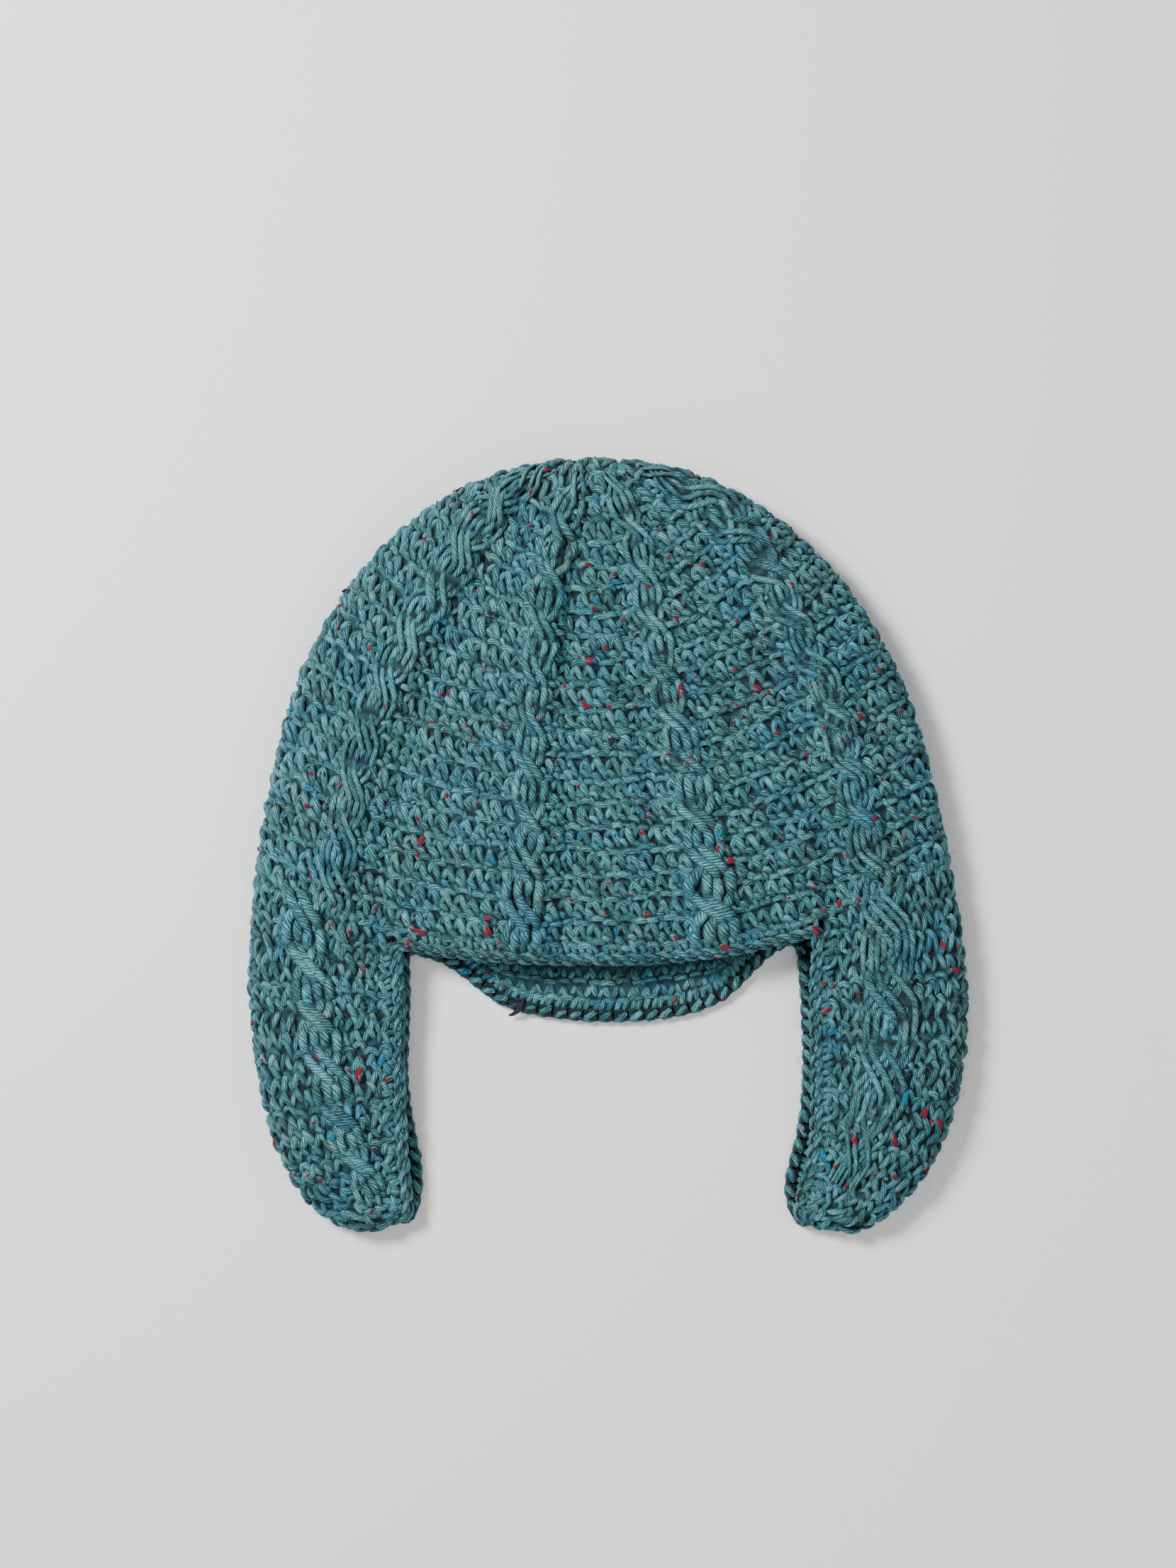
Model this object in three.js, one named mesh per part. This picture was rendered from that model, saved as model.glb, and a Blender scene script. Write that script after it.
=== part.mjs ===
import * as THREE from 'three';

// A crocheted cap with cable ribs, two earflaps and a neck flap, laid flat on its back.
// Sizes in mm. X runs across the cap, +Y from the hem to the crown, +Z up from the floor.
const WALL = 4;
const LAST_ROW_GAP = 0.0038;
const CABLE_GAP = 0.5;
const CABLE_TOP_GAP = 0.6;
const EDGE_GAP = 0.65;
const HALF_WIDTH = 140;
const CROWN_LENGTH = 200.6;
const PINCH = { part: 0.017, y: 14, span: 42 };
const WIDEST_Y = -50;
const HEM_Y = -42;
const OUTLINE_POWER = 2.15;
const TOP_LEAN = -4.5;
const FOLD_RADIUS = 5.5;
const TOP_FOLD_RADIUS = 9;

// Where the crown ends on its two side folds, and how the last row bows to get there.
const LEFT_END = { y: -16.7, bow: 2.6 };
const RIGHT_END = { y: -8, bow: 2.1 };
const TOP_BOW = 2;
const FAN_END = 0.4;

// The front hem runs between these two columns; the earflaps take the rest.
const HEM_FROM = -0.6;
const HEM_TO = 0.582;

// Relief of the panels between the cables. Both fade out towards the rim, as powers of its
// nearness, and the panels start some rows below the crown centre.
const PANEL_SAG = 1.6;
const PANEL_START = 0.3;
const PANEL_FADE = 8;
const LIFT_FADE = 4;
const VALLEY = { depth: 4.5, row: 0.59, rowSpan: 0.09, x: -22, xSpan: 62 };

// A groove runs beside each front cable, on its right (1) or its left (-1).
const GROOVE_DEPTH = 1.4;
const GROOVE_OFFSET = 0.11;
const GROOVE_WIDTH = 0.035;
const GROOVE_SIDES = [1, 1, -1, -1];

// Cables: post stitches that stand on the face of the cloth. A cable's face is a row of
// places across its half width; it is lowest at the edges and smallest at its start.
const CABLE_COLUMNS = [-0.75, -0.25, 0.25, 0.75];
const CABLE_HEIGHT = 3;
const CABLE_EDGE_HEIGHT = 0.3;
const CABLE_FACE = [1, 0.62, 0, -0.62, -1];
const CABLE_START = { size: 0.55, rings: 2, gapRings: 7 };
const CABLE_TWISTS = 8;
const FLAP_TWISTS = 4;
const CABLE_TWIST_DEPTH = 0.25;
const CABLE_TWIST_LEAN = 2.2;
const BACK_CABLE_HALF = { top: 4.5, hem: 8, fullRow: 0.5 };
const BACK_LEAF_CABLE = 0.75;

// The back wall rises over its cables, in columns on the crown and in mm on the earflaps.
const BACK_RISE = CABLE_HEIGHT + CABLE_GAP;
const BACK_RISE_HALF = 0.13;
const BACK_RISE_EDGE = 0.055;
const BACK_RISE_ENDS = 0.05;
const LEAF_RISE_SLOPE = 5;
const LEAF_RISE = { from: 0.02, fadeIn: 0.07, to: 0.9, fadeOut: 0.08 };

// The widest a cable grows, in columns, and where it stops short on an earflap leaf.
const MOST_CABLE_COLUMNS = 0.13;
const MOST_BACK_COLUMNS = 0.07;
const LEAF_CABLE_REACH = { from: 0.25, to: 0.9 };

// Edging: one round of chain along every free edge. It starts and ends a little clear of
// the corners, and reaches further out at an earflap's tip and corners.
const EDGE_WIDTH = 6.2;
const EDGE_THICK = 5;
const EDGE_STEP = 5.6;
const EDGE_SIDES = 7;
const FLAP_EDGE = { from: 0.06, to: 0.98, tip: 0.8 };
const HEM_CORNER = 0.026;
const NECK_CORNER = 0.05;
const TIP_REACH = 1.15;
const CORNER_REACH = 1.45;

// Stops along the edge, and steps of the folded sheets.
const FOLD_STEPS = 600;
const FLAP_STOPS = 36;
const TIP_STOPS = 6;
const HEM_STOPS = 50;
const NECK_STOPS = 60;
const FLAP_SPANS = 11;
const NECK_SPANS = 18;
const NECK_INSET = 0.012;
const NECK_ROWS = [0, 0.35, 0.7, 1];
const FLAP_FOLD = [0.2, 0.11, 0.04, -0.04, -0.11, -0.2];
const CROWN_FOLD = [1, 0.965, 0.93];
const CROWN_ROWS = [
  0.03, 0.07, 0.11, 0.16, 0.22, 0.28, 0.35, 0.42, 0.49, 0.56, 0.63, 0.7, 0.78, 0.86, 0.93,
  1 - LAST_ROW_GAP,
];
const GROOVE_LEAST = 0.12;
const GROOVE_CLEAR = 0.045;
const SPAN = 0.04;
const FINE_SPAN = 0.01;

// The first rows of an earflap settle from the last row of the crown, and its front leaf
// swells between the fold and the free edge.
const SETTLE = 0.3;
const LEAF_SWELL = 1.15;
const LEAST_LEAF = 0.9;

const YARN = new THREE.MeshStandardMaterial({ color: 0x4d7f89, roughness: 0.95, metalness: 0 });

// Lift of the front wall over the side folds, by row from the crown centre to the hem.
const LIFT = [
  { row: 0, lift: 0 },
  { row: 0.1, lift: 6 },
  { row: 0.25, lift: 10.5 },
  { row: 0.45, lift: 10.5 },
  { row: 0.65, lift: 9.5 },
  { row: 0.85, lift: 9 },
  { row: 1, lift: 6.5 },
];

// How far each front cable strays from its even place, in columns, and its half width.
const FRONT_CABLES = [
  [
    { row: 0, stray: 0, half: 4 },
    { row: 0.15, stray: 0, half: 8 },
    { row: 0.4, stray: 0.01, half: 8.5 },
    { row: 0.7, stray: -0.01, half: 7.5 },
    { row: 1, stray: -0.02, half: 9 },
  ],
  [
    { row: 0, stray: 0, half: 4 },
    { row: 0.15, stray: -0.03, half: 7.5 },
    { row: 0.4, stray: -0.02, half: 6.5 },
    { row: 0.7, stray: 0.015, half: 7.5 },
    { row: 1, stray: 0.01, half: 9.5 },
  ],
  [
    { row: 0, stray: 0, half: 4 },
    { row: 0.15, stray: 0.03, half: 6 },
    { row: 0.4, stray: 0.01, half: 6.5 },
    { row: 0.7, stray: 0.05, half: 8.5 },
    { row: 1, stray: 0.07, half: 11.5 },
  ],
  [
    { row: 0, stray: 0, half: 4 },
    { row: 0.15, stray: 0.06, half: 9 },
    { row: 0.35, stray: 0.08, half: 9 },
    { row: 0.5, stray: 0.03, half: 8 },
    { row: 1, stray: 0.02, half: 9 },
  ],
];

// Earflap outlines from the crown down: the outer fold, then the free edges of the
// front and the back leaf. The last row is the cupped tip.
const LEFT_FLAP = [
  { at: 0, foldX: -138.7, foldY: -17, frontX: -76, frontY: -37, backX: -74, backY: -38 },
  { at: 0.12, foldX: -140, foldY: -38, frontX: -76.5, frontY: -51, backX: -74.4, backY: -52 },
  { at: 0.26, foldX: -139.6, foldY: -62, frontX: -77.5, frontY: -66, backX: -76, backY: -66 },
  { at: 0.4, foldX: -137, foldY: -86, frontX: -77.8, frontY: -83, backX: -77.2, backY: -83 },
  { at: 0.54, foldX: -132.6, foldY: -108.5, frontX: -77.6, frontY: -99, backX: -76.6, backY: -98 },
  { at: 0.68, foldX: -125.5, foldY: -127, frontX: -77.2, frontY: -113, backX: -74.6, backY: -111 },
  { at: 0.82, foldX: -114.5, foldY: -142.7, frontX: -76.8, frontY: -125, backX: -72.6, backY: -123 },
  { at: 0.92, foldX: -99, foldY: -151, frontX: -76.4, frontY: -133, backX: -72.6, backY: -132 },
  { at: 1, foldX: -86, foldY: -149.8, frontX: -78, frontY: -137, backX: -75.5, backY: -136.5 },
];

const RIGHT_FLAP = [
  { at: 0, foldX: 135, foldY: -8, frontX: 73.5, frontY: -33, backX: 73.5, backY: -37 },
  { at: 0.12, foldX: 139.1, foldY: -34, frontX: 75.8, frontY: -46, backX: 74.6, backY: -50 },
  { at: 0.26, foldX: 141.2, foldY: -58, frontX: 78.2, frontY: -62, backX: 75.8, backY: -64 },
  { at: 0.4, foldX: 140.4, foldY: -82, frontX: 79, frontY: -80, backX: 76.4, backY: -81 },
  { at: 0.54, foldX: 136.8, foldY: -103, frontX: 79.2, frontY: -96, backX: 76.2, backY: -97 },
  { at: 0.68, foldX: 129, foldY: -123, frontX: 79, frontY: -111, backX: 74.6, backY: -111 },
  { at: 0.82, foldX: 116.5, foldY: -140, frontX: 77.8, frontY: -124, backX: 71.8, backY: -123 },
  { at: 0.92, foldX: 101.5, foldY: -150.5, frontX: 75.5, frontY: -132, backX: 70, backY: -132 },
  { at: 1, foldX: 85, foldY: -150.3, frontX: 75.5, frontY: -137.5, backX: 73, backY: -137.5 },
];

// Fold radius and lift of the front leaf down an earflap.
const FLAP_BODY = [
  { at: 0, radius: 5.5, lift: 0 },
  { at: 0.3, radius: 5.2, lift: 3 },
  { at: 0.7, radius: 4.6, lift: 2.6 },
  { at: 0.92, radius: 3.8, lift: 1 },
  { at: 1, radius: 3.3, lift: 0 },
];

// Cable on an earflap leaf: its place between the fold (0) and the free edge (1).
const FLAP_CABLES = {
  left: [
    { at: 0, place: 0.42, half: 8.5 },
    { at: 0.4, place: 0.52, half: 7.5 },
    { at: 0.82, place: 0.66, half: 6 },
  ],
  right: [
    { at: 0, place: 0.55, half: 10 },
    { at: 0.4, place: 0.57, half: 11 },
    { at: 0.82, place: 0.7, half: 6 },
  ],
};

// Lower edge of the neck flap below the back hem, by column of the last row.
const NECK = [
  { column: -0.6, drop: 0.6 },
  { column: -0.515, drop: 1 },
  { column: -0.43, drop: 3.4 },
  { column: -0.365, drop: 9 },
  { column: -0.27, drop: 17.5 },
  { column: -0.08, drop: 21.8 },
  { column: 0.12, drop: 22 },
  { column: 0.265, drop: 20 },
  { column: 0.345, drop: 15 },
  { column: 0.41, drop: 7 },
  { column: 0.48, drop: 1.5 },
  { column: 0.582, drop: 0.6 },
];

const SPARE = Math.PI / 2 - 1;
const FLAT_WIDTH = HALF_WIDTH - WALL / 2 + SPARE * FOLD_RADIUS;
const FLAT_LENGTH = CROWN_LENGTH - WALL / 2 + SPARE * TOP_FOLD_RADIUS;
const TOP_Y = WIDEST_Y + FLAT_LENGTH;

function smooth(t) {
  const s = Math.min(Math.max(t, 0), 1);
  return s * s * (3 - 2 * s);
}

function bell(x, span) {
  return Math.exp(-((x / span) ** 2));
}

// Cubic reading of a table between its rows.
function read(table, key, name, at) {
  const last = table.length - 1;
  if (at <= table[0][key]) return table[0][name];
  if (at >= table[last][key]) return table[last][name];
  let i = 0;
  while (table[i + 1][key] < at) i += 1;
  const slope = (a, b) => (table[b][name] - table[a][name]) / (table[b][key] - table[a][key]);
  const span = table[i + 1][key] - table[i][key];
  const t = (at - table[i][key]) / span;
  const from = slope(Math.max(i - 1, 0), i + 1) * span;
  const to = slope(i, Math.min(i + 2, last)) * span;
  const a = table[i][name];
  const b = table[i + 1][name];
  return a + t * (from + t * (3 * (b - a) - 2 * from - to + t * (2 * (a - b) + from + to)));
}

// The side fold of the crown in the flat, walked from the top.
const foldWalk = [];
for (let i = 0, length = 0; i <= FOLD_STEPS; i += 1) {
  const turn = (Math.PI / 2) * (i / FOLD_STEPS);
  const x = FLAT_WIDTH * Math.sin(turn) ** (2 / OUTLINE_POWER);
  const y = WIDEST_Y + FLAT_LENGTH * Math.max(Math.cos(turn), 0) ** (2 / OUTLINE_POWER);
  if (i > 0) length += Math.hypot(x - foldWalk[i - 1].x, y - foldWalk[i - 1].y);
  foldWalk.push({ x, y, length });
}

function walkTo(key, value) {
  let i = 0;
  while (i < FOLD_STEPS - 1 && (value - foldWalk[i + 1][key]) * (key === 'y' ? -1 : 1) > 0) i += 1;
  const from = foldWalk[i];
  const to = foldWalk[i + 1];
  const t = (value - from[key]) / (to[key] - from[key]);
  return {
    x: from.x + t * (to.x - from.x),
    y: from.y + t * (to.y - from.y),
    length: from.length + t * (to.length - from.length),
  };
}

const leftWalk = walkTo('y', LEFT_END.y).length;
const rightWalk = walkTo('y', RIGHT_END.y).length;

// Columns follow the cables, so the stray of the nearest ones shifts the whole panel.
function strayAt(row, column) {
  let shift = 0;
  CABLE_COLUMNS.forEach((place, k) => {
    const reach = Math.abs(place) > 0.5 && Math.abs(column) > Math.abs(place) ? 0.25 : 0.5;
    const near = Math.max(0, 1 - Math.abs(column - place) / reach);
    shift += near * read(FRONT_CABLES[k], 'row', 'stray', row);
  });
  return shift;
}

// Place of a stitch in the flat: row 0 is the crown centre and 1 the hem,
// column -1 and 1 are the side folds.
function rowPoint(row, column) {
  const end = column < 0 ? LEFT_END : RIGHT_END;
  const fold = walkTo('length', row * (column < 0 ? leftWalk : rightWalk));
  const out = Math.abs(column);
  const centreY = TOP_Y - row * (TOP_Y - HEM_Y);
  const blend = smooth(row / FAN_END);
  const bow = TOP_BOW + (end.bow - TOP_BOW) * row;
  const across = (1 - blend) * Math.sin((Math.PI / 2) * out) + blend * out;
  return { x: Math.sign(column) * fold.x * across, y: fold.y - (fold.y - centreY) * (1 - out ** bow) };
}

// Sag is deepest halfway between two cables.
function frontLift(row, column, x, rim) {
  const body = read(LIFT, 'row', 'lift', row) * (1 - rim ** LIFT_FADE);
  const sag = (PANEL_SAG / 2) * (1 + Math.cos(4 * Math.PI * column));
  let groove = 0;
  CABLE_COLUMNS.forEach((place, k) => {
    groove += bell(column - place - GROOVE_SIDES[k] * GROOVE_OFFSET, GROOVE_WIDTH);
  });
  const panel = (sag + GROOVE_DEPTH * groove) * smooth(row / PANEL_START) * (1 - rim ** PANEL_FADE);
  const across = bell(x - VALLEY.x, VALLEY.xSpan);
  return body - panel - VALLEY.depth * bell(row - VALLEY.row, VALLEY.rowSpan) * across;
}

// The cap lies on cloth and cables alike.
function backRise(row, column) {
  let rise = 0;
  CABLE_COLUMNS.forEach((place) => {
    rise = Math.max(rise, smooth((BACK_RISE_HALF - Math.abs(column - place)) / BACK_RISE_EDGE));
  });
  const ends = smooth((row - BACK_RISE_ENDS) / BACK_RISE_ENDS) * smooth((1 - row) / BACK_RISE_ENDS);
  return BACK_RISE * rise * ends;
}

// Middle of the crown wall. Turns 0 to 2 run over the front, 2 to 4 back under it.
function crownPoint(turn, row) {
  const front = turn <= 2;
  const column = front ? turn - 1 : 3 - turn;
  const flat = rowPoint(row, front ? column + strayAt(row, column) : column);
  const dy = flat.y - WIDEST_Y;
  const far = Math.hypot(flat.x, dy);
  const power = OUTLINE_POWER;
  const wide = (Math.abs(flat.x) / FLAT_WIDTH) ** power;
  const long = (Math.abs(dy) / FLAT_LENGTH) ** power;
  const rim = (wide + long) ** (1 / power);
  const high = Math.min(Math.max(dy / FLAT_LENGTH, 0), 1);
  const radius = FOLD_RADIUS + (TOP_FOLD_RADIUS - FOLD_RADIUS) * high;
  const reach = far / Math.max(rim, 1e-9);
  const inward = Math.max(reach - far, 0);
  const roll = Math.min(inward / radius, Math.PI / 2);
  const laid = inward < (radius * Math.PI) / 2 ? SPARE * radius + radius * (1 - Math.cos(roll)) : inward;
  const scale = (reach - laid) / Math.max(far, 1e-9);
  const lift = front ? frontLift(row, column, flat.x, Math.min(rim, 1)) : backRise(row, column);
  const z = WALL / 2 + radius + (front ? radius : -radius) * Math.sin(roll) + lift * Math.sin(roll);
  const y = WIDEST_Y + dy * scale;
  const pinch = 1 - PINCH.part * bell(y - PINCH.y, PINCH.span);
  return new THREE.Vector3(flat.x * scale * pinch + TOP_LEAN * high, y, z);
}

// The back leaf of an earflap rises over its cable too.
function flapRise(side, at, place, length) {
  const table = FLAP_CABLES[side < 0 ? 'left' : 'right'];
  const off = Math.abs(Math.abs(place) - read(table, 'at', 'place', at)) * length;
  const half = read(table, 'at', 'half', at) * BACK_LEAF_CABLE;
  const start = smooth((at - LEAF_RISE.from) / LEAF_RISE.fadeIn);
  const end = smooth((LEAF_RISE.to - at) / LEAF_RISE.fadeOut);
  return BACK_RISE * smooth((half + LEAF_RISE_SLOPE - off) / LEAF_RISE_SLOPE) * start * end;
}

// Middle of an earflap wall: place 1 is the front edge, 0 the fold, -1 the back edge.
function flapPoint(side, at, place) {
  const table = side < 0 ? LEFT_FLAP : RIGHT_FLAP;
  const leaf = place >= 0 ? 'front' : 'back';
  const fold = new THREE.Vector2(read(table, 'at', 'foldX', at), read(table, 'at', 'foldY', at));
  const edgeX = read(table, 'at', `${leaf}X`, at);
  const edgeY = read(table, 'at', `${leaf}Y`, at);
  const along = new THREE.Vector2(edgeX, edgeY).sub(fold);
  const radius = read(FLAP_BODY, 'at', 'radius', at);
  const foldIn = WALL / 2;
  const edgeIn = EDGE_WIDTH + EDGE_GAP;
  const length = Math.max(along.length() - foldIn - edgeIn, radius * LEAST_LEAF) + SPARE * radius;
  const inward = Math.abs(place) * length;
  const roll = Math.min(inward / radius, Math.PI / 2);
  const laid = roll < Math.PI / 2 ? radius * (1 - Math.cos(roll)) : inward - SPARE * radius;
  along.normalize().multiplyScalar(foldIn + laid).add(fold);
  const swell = Math.sin(Math.PI * Math.min(Math.abs(place) * LEAF_SWELL, 1));
  const lift = place > 0 ? read(FLAP_BODY, 'at', 'lift', at) * swell : flapRise(side, at, place, length);
  const z = WALL / 2 + radius + Math.sign(place) * radius * Math.sin(roll) + lift;
  return new THREE.Vector3(along.x, along.y, z);
}

// Column of the last crown row over a place on an earflap.
function hemColumn(side, place) {
  const corner = side < 0 ? -HEM_FROM : HEM_TO;
  return side * (1 - Math.abs(place) * (1 - corner));
}

function earflapPoint(side, at, place) {
  const column = hemColumn(side, place);
  const own = flapPoint(side, at, place);
  const turn = place >= 0 ? column + 1 : 3 - column;
  const shift = crownPoint(turn, 1).sub(flapPoint(side, 0, place));
  return own.addScaledVector(shift, 1 - smooth(at / SETTLE));
}

function neckPoint(column, at) {
  const hem = crownPoint(3 - column, 1);
  hem.y -= at * Math.max(read(NECK, 'column', 'drop', column), 0);
  return hem;
}

function normalOf(surface, u, v, flip) {
  const step = 1e-3;
  const du = surface(u + step, v).sub(surface(u - step, v));
  const dv = surface(u, v + step).sub(surface(u, v - step));
  return du.cross(dv).normalize().multiplyScalar(flip);
}

const wrapTurn = (turn) => ((turn % 4) + 4) % 4;
const crownAt = (turn, row) => crownPoint(wrapTurn(turn), row);

function crownOffset(turn, row, offset) {
  return crownAt(turn, row).addScaledVector(normalOf(crownAt, turn, row, -1), offset);
}

function makeSolid(name, points, faces) {
  const geometry = new THREE.BufferGeometry();
  const coordinates = points.flatMap((p) => [p.x, p.y, p.z]);
  geometry.setAttribute('position', new THREE.Float32BufferAttribute(coordinates, 3));
  geometry.setIndex(faces);
  geometry.computeVertexNormals();
  const mesh = new THREE.Mesh(geometry, YARN);
  mesh.name = name;
  return mesh;
}

// A wall between an outer and an inner grid. A ring closes on itself; a pole closes row 0.
function wallSolid(name, columns, rows, outer, inner, ring, poles) {
  const points = [];
  const across = columns.length;
  [outer, inner].forEach((skin) => {
    rows.forEach((row) => columns.forEach((column) => points.push(skin(column, row))));
  });
  const skinSize = across * rows.length;
  const faces = [];
  const quad = (a, b, c, d) => faces.push(a, b, c, a, c, d);
  const at = (skin, i, j) => skin * skinSize + j * across + (i % across);
  const spans = ring ? across : across - 1;
  const end = rows.length - 1;
  for (let i = 0; i < spans; i += 1) {
    for (let j = 0; j < end; j += 1) {
      quad(at(0, i, j), at(0, i, j + 1), at(0, i + 1, j + 1), at(0, i + 1, j));
      quad(at(1, i, j), at(1, i + 1, j), at(1, i + 1, j + 1), at(1, i, j + 1));
    }
    quad(at(0, i, end), at(1, i, end), at(1, i + 1, end), at(0, i + 1, end));
    if (poles) {
      faces.push(at(0, i, 0), at(0, i + 1, 0), points.length);
      faces.push(at(1, i + 1, 0), at(1, i, 0), points.length + 1);
    } else {
      quad(at(1, i, 0), at(0, i, 0), at(0, i + 1, 0), at(1, i + 1, 0));
    }
  }
  for (let j = 0; j < end && !ring; j += 1) {
    quad(at(0, 0, j), at(1, 0, j), at(1, 0, j + 1), at(0, 0, j + 1));
    quad(at(1, spans, j), at(0, spans, j), at(0, spans, j + 1), at(1, spans, j + 1));
  }
  if (poles) points.push(...poles);
  return makeSolid(name, points, faces);
}

// A rod through a list of rings, closed on itself or capped at both ends from its crest.
function rodSolid(name, rings, crest) {
  const sides = rings[0].length;
  const points = rings.flat();
  const faces = [];
  const at = (i, k) => (i % rings.length) * sides + (k % sides);
  const loop = crest === undefined;
  const spans = loop ? rings.length : rings.length - 1;
  for (let i = 0; i < spans; i += 1) {
    for (let k = 0; k < sides; k += 1) {
      faces.push(at(i, k), at(i, k + 1), at(i + 1, k + 1), at(i, k), at(i + 1, k + 1), at(i + 1, k));
    }
  }
  if (!loop) {
    const last = rings.length - 1;
    for (let k = crest + 1; k < crest + sides - 1; k += 1) {
      faces.push(at(0, crest), at(0, k + 1), at(0, k));
      faces.push(at(last, crest), at(last, k), at(last, k + 1));
    }
  }
  return makeSolid(name, points, faces);
}

// Section of a cable on three points of the cloth: a flat seat and a rounded face, with
// slanting swells like a laid rope. The crest is the middle of the face, after the seat.
const SEAT = [-1, 0, 1];
const CABLE_CREST = SEAT.length + CABLE_FACE.indexOf(0);
function cableRing(seatPoints, swell, size, gap) {
  const along = (u) => {
    const from = seatPoints[1];
    const to = seatPoints[u > 0 ? 2 : 0];
    const t = Math.abs(u);
    return { p: from.p.clone().lerp(to.p, t), n: from.n.clone().lerp(to.n, t).normalize() };
  };
  const lifted = (u, height) => {
    const { p, n } = along(u);
    p.addScaledVector(n, height);
    p.z = Math.max(p.z, 0);
    return p;
  };
  const seat = SEAT.map((u) => lifted(u, gap));
  const face = CABLE_FACE.map((u) => {
    const round = CABLE_EDGE_HEIGHT + (1 - CABLE_EDGE_HEIGHT) * Math.sqrt(1 - u * u);
    const twist = 1 - (CABLE_TWIST_DEPTH / 2) * (1 + Math.cos(swell + CABLE_TWIST_LEAN * u));
    return lifted(u, gap + CABLE_HEIGHT * round * twist * size);
  });
  return [...seat, ...face];
}

// A cable over stations of the cloth, with a further ring halfway where it shows.
function cableSolid(name, stations, twists, halfway) {
  const rings = [];
  const last = stations.length - 1;
  const swellAt = (i) => (2 * Math.PI * twists * i) / last;
  const sizeAt = (i) => CABLE_START.size + (1 - CABLE_START.size) * smooth(i / CABLE_START.rings);
  const gapAt = (i) => CABLE_GAP + CABLE_TOP_GAP * (1 - smooth(i / CABLE_START.gapRings));
  stations.forEach((station, i) => {
    rings.push(cableRing(station, swellAt(i), sizeAt(i), gapAt(i)));
    if (!halfway || i === last) return;
    const middle = station.map(({ p, n }, j) => {
      const next = stations[i + 1][j];
      return { p: p.clone().lerp(next.p, 0.5), n: n.clone().lerp(next.n, 0.5).normalize() };
    });
    rings.push(cableRing(middle, swellAt(i + 0.5), sizeAt(i + 0.5), gapAt(i + 0.5)));
  });
  return rodSolid(name, rings, CABLE_CREST);
}

function steps(from, to, count) {
  return Array.from({ length: count + 1 }, (_, i) => from + ((to - from) * i) / count);
}

// Half width of a cable in columns.
function cableColumns(k, front, row) {
  const turn = front ? CABLE_COLUMNS[k] + 1 : 3 - CABLE_COLUMNS[k];
  const perColumn = crownAt(turn + SPAN, row).distanceTo(crownAt(turn - SPAN, row)) / (2 * SPAN);
  const { top, hem, fullRow } = BACK_CABLE_HALF;
  const half = front ? read(FRONT_CABLES[k], 'row', 'half', row) : top + (hem - top) * smooth(row / fullRow);
  return Math.min(half / perColumn, front ? MOST_CABLE_COLUMNS : MOST_BACK_COLUMNS);
}

// Crown columns crowd at the side folds and at the cables: centre, edges and grooves.
const plain = (column) => () => column;
function columnsOf(front) {
  const columns = CROWN_FOLD.map((column) => plain(-column));
  CABLE_COLUMNS.forEach((place, k) => {
    const half = (row) => cableColumns(k, front, row);
    const groove = (row) => Math.max(front ? GROOVE_LEAST : BACK_RISE_HALF, half(row) + GROOVE_CLEAR);
    columns.push((row) => place - groove(row), (row) => place - half(row), plain(place));
    columns.push((row) => place + half(row), (row) => place + groove(row));
    if (k < 3) columns.push(plain(place + 0.25));
  });
  columns.push(...CROWN_FOLD.map(plain).reverse());
  return columns;
}
const frontTurns = columnsOf(true).map((column) => (row) => column(row) + 1);
const backTurns = columnsOf(false).reverse().map((column) => (row) => 3 - column(row));
const crownTurns = [...frontTurns.slice(0, -1), ...backTurns.slice(0, -1)];

// Place of the first cable in those lists, and columns from one cable to the next.
const FIRST_CABLE_ROW = 1;
const CABLE_SEAT_COLUMN = CROWN_FOLD.length + 2;
const COLUMNS_PER_CABLE = 6;

function crownCable(name, k, front) {
  const middle = CABLE_SEAT_COLUMN + COLUMNS_PER_CABLE * (front ? k : 3 - k);
  const turns = (front ? frontTurns : backTurns).slice(middle - 1, middle + 2);
  const outer = k === 0 || k === 3;
  const first = FIRST_CABLE_ROW + (outer ? 1 : 0) + (front ? 0 : 2);
  const rows = CROWN_ROWS.slice(first, front ? undefined : -1);
  const stations = rows.map((row) => turns.map((turn) => ({
    p: crownOffset(turn(row), row, WALL / 2),
    n: normalOf(crownAt, turn(row), row, -1),
  })));
  return cableSolid(name, stations, CABLE_TWISTS, front);
}

const crownTop = crownPoint(1, 0);
const topOut = crownTop.clone().add(new THREE.Vector3(0, WALL / 2, 0));
const topIn = crownTop.clone().sub(new THREE.Vector3(0, WALL / 2, 0));

const group = new THREE.Group();
group.name = 'earflap_cap';

group.add(wallSolid(
  'crown',
  crownTurns,
  CROWN_ROWS,
  (turn, row) => crownOffset(turn(row), row, WALL / 2),
  (turn, row) => crownOffset(turn(row), row, -WALL / 2),
  true,
  [topOut, topIn],
));

CABLE_COLUMNS.forEach((_, k) => {
  group.add(crownCable(`cable_front_${k + 1}`, k, true));
  group.add(crownCable(`cable_back_${k + 1}`, k, false));
});

// The neck flap hangs from the back of the last row.
const neckColumns = steps(HEM_FROM + NECK_INSET, HEM_TO - NECK_INSET, NECK_SPANS);
const neckSkin = (offset) => (column, at) => {
  const point = neckPoint(column, at);
  point.z += offset;
  return point;
};
group.add(wallSolid('neck_flap', neckColumns, NECK_ROWS, neckSkin(WALL / 2), neckSkin(-WALL / 2), false));

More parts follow.
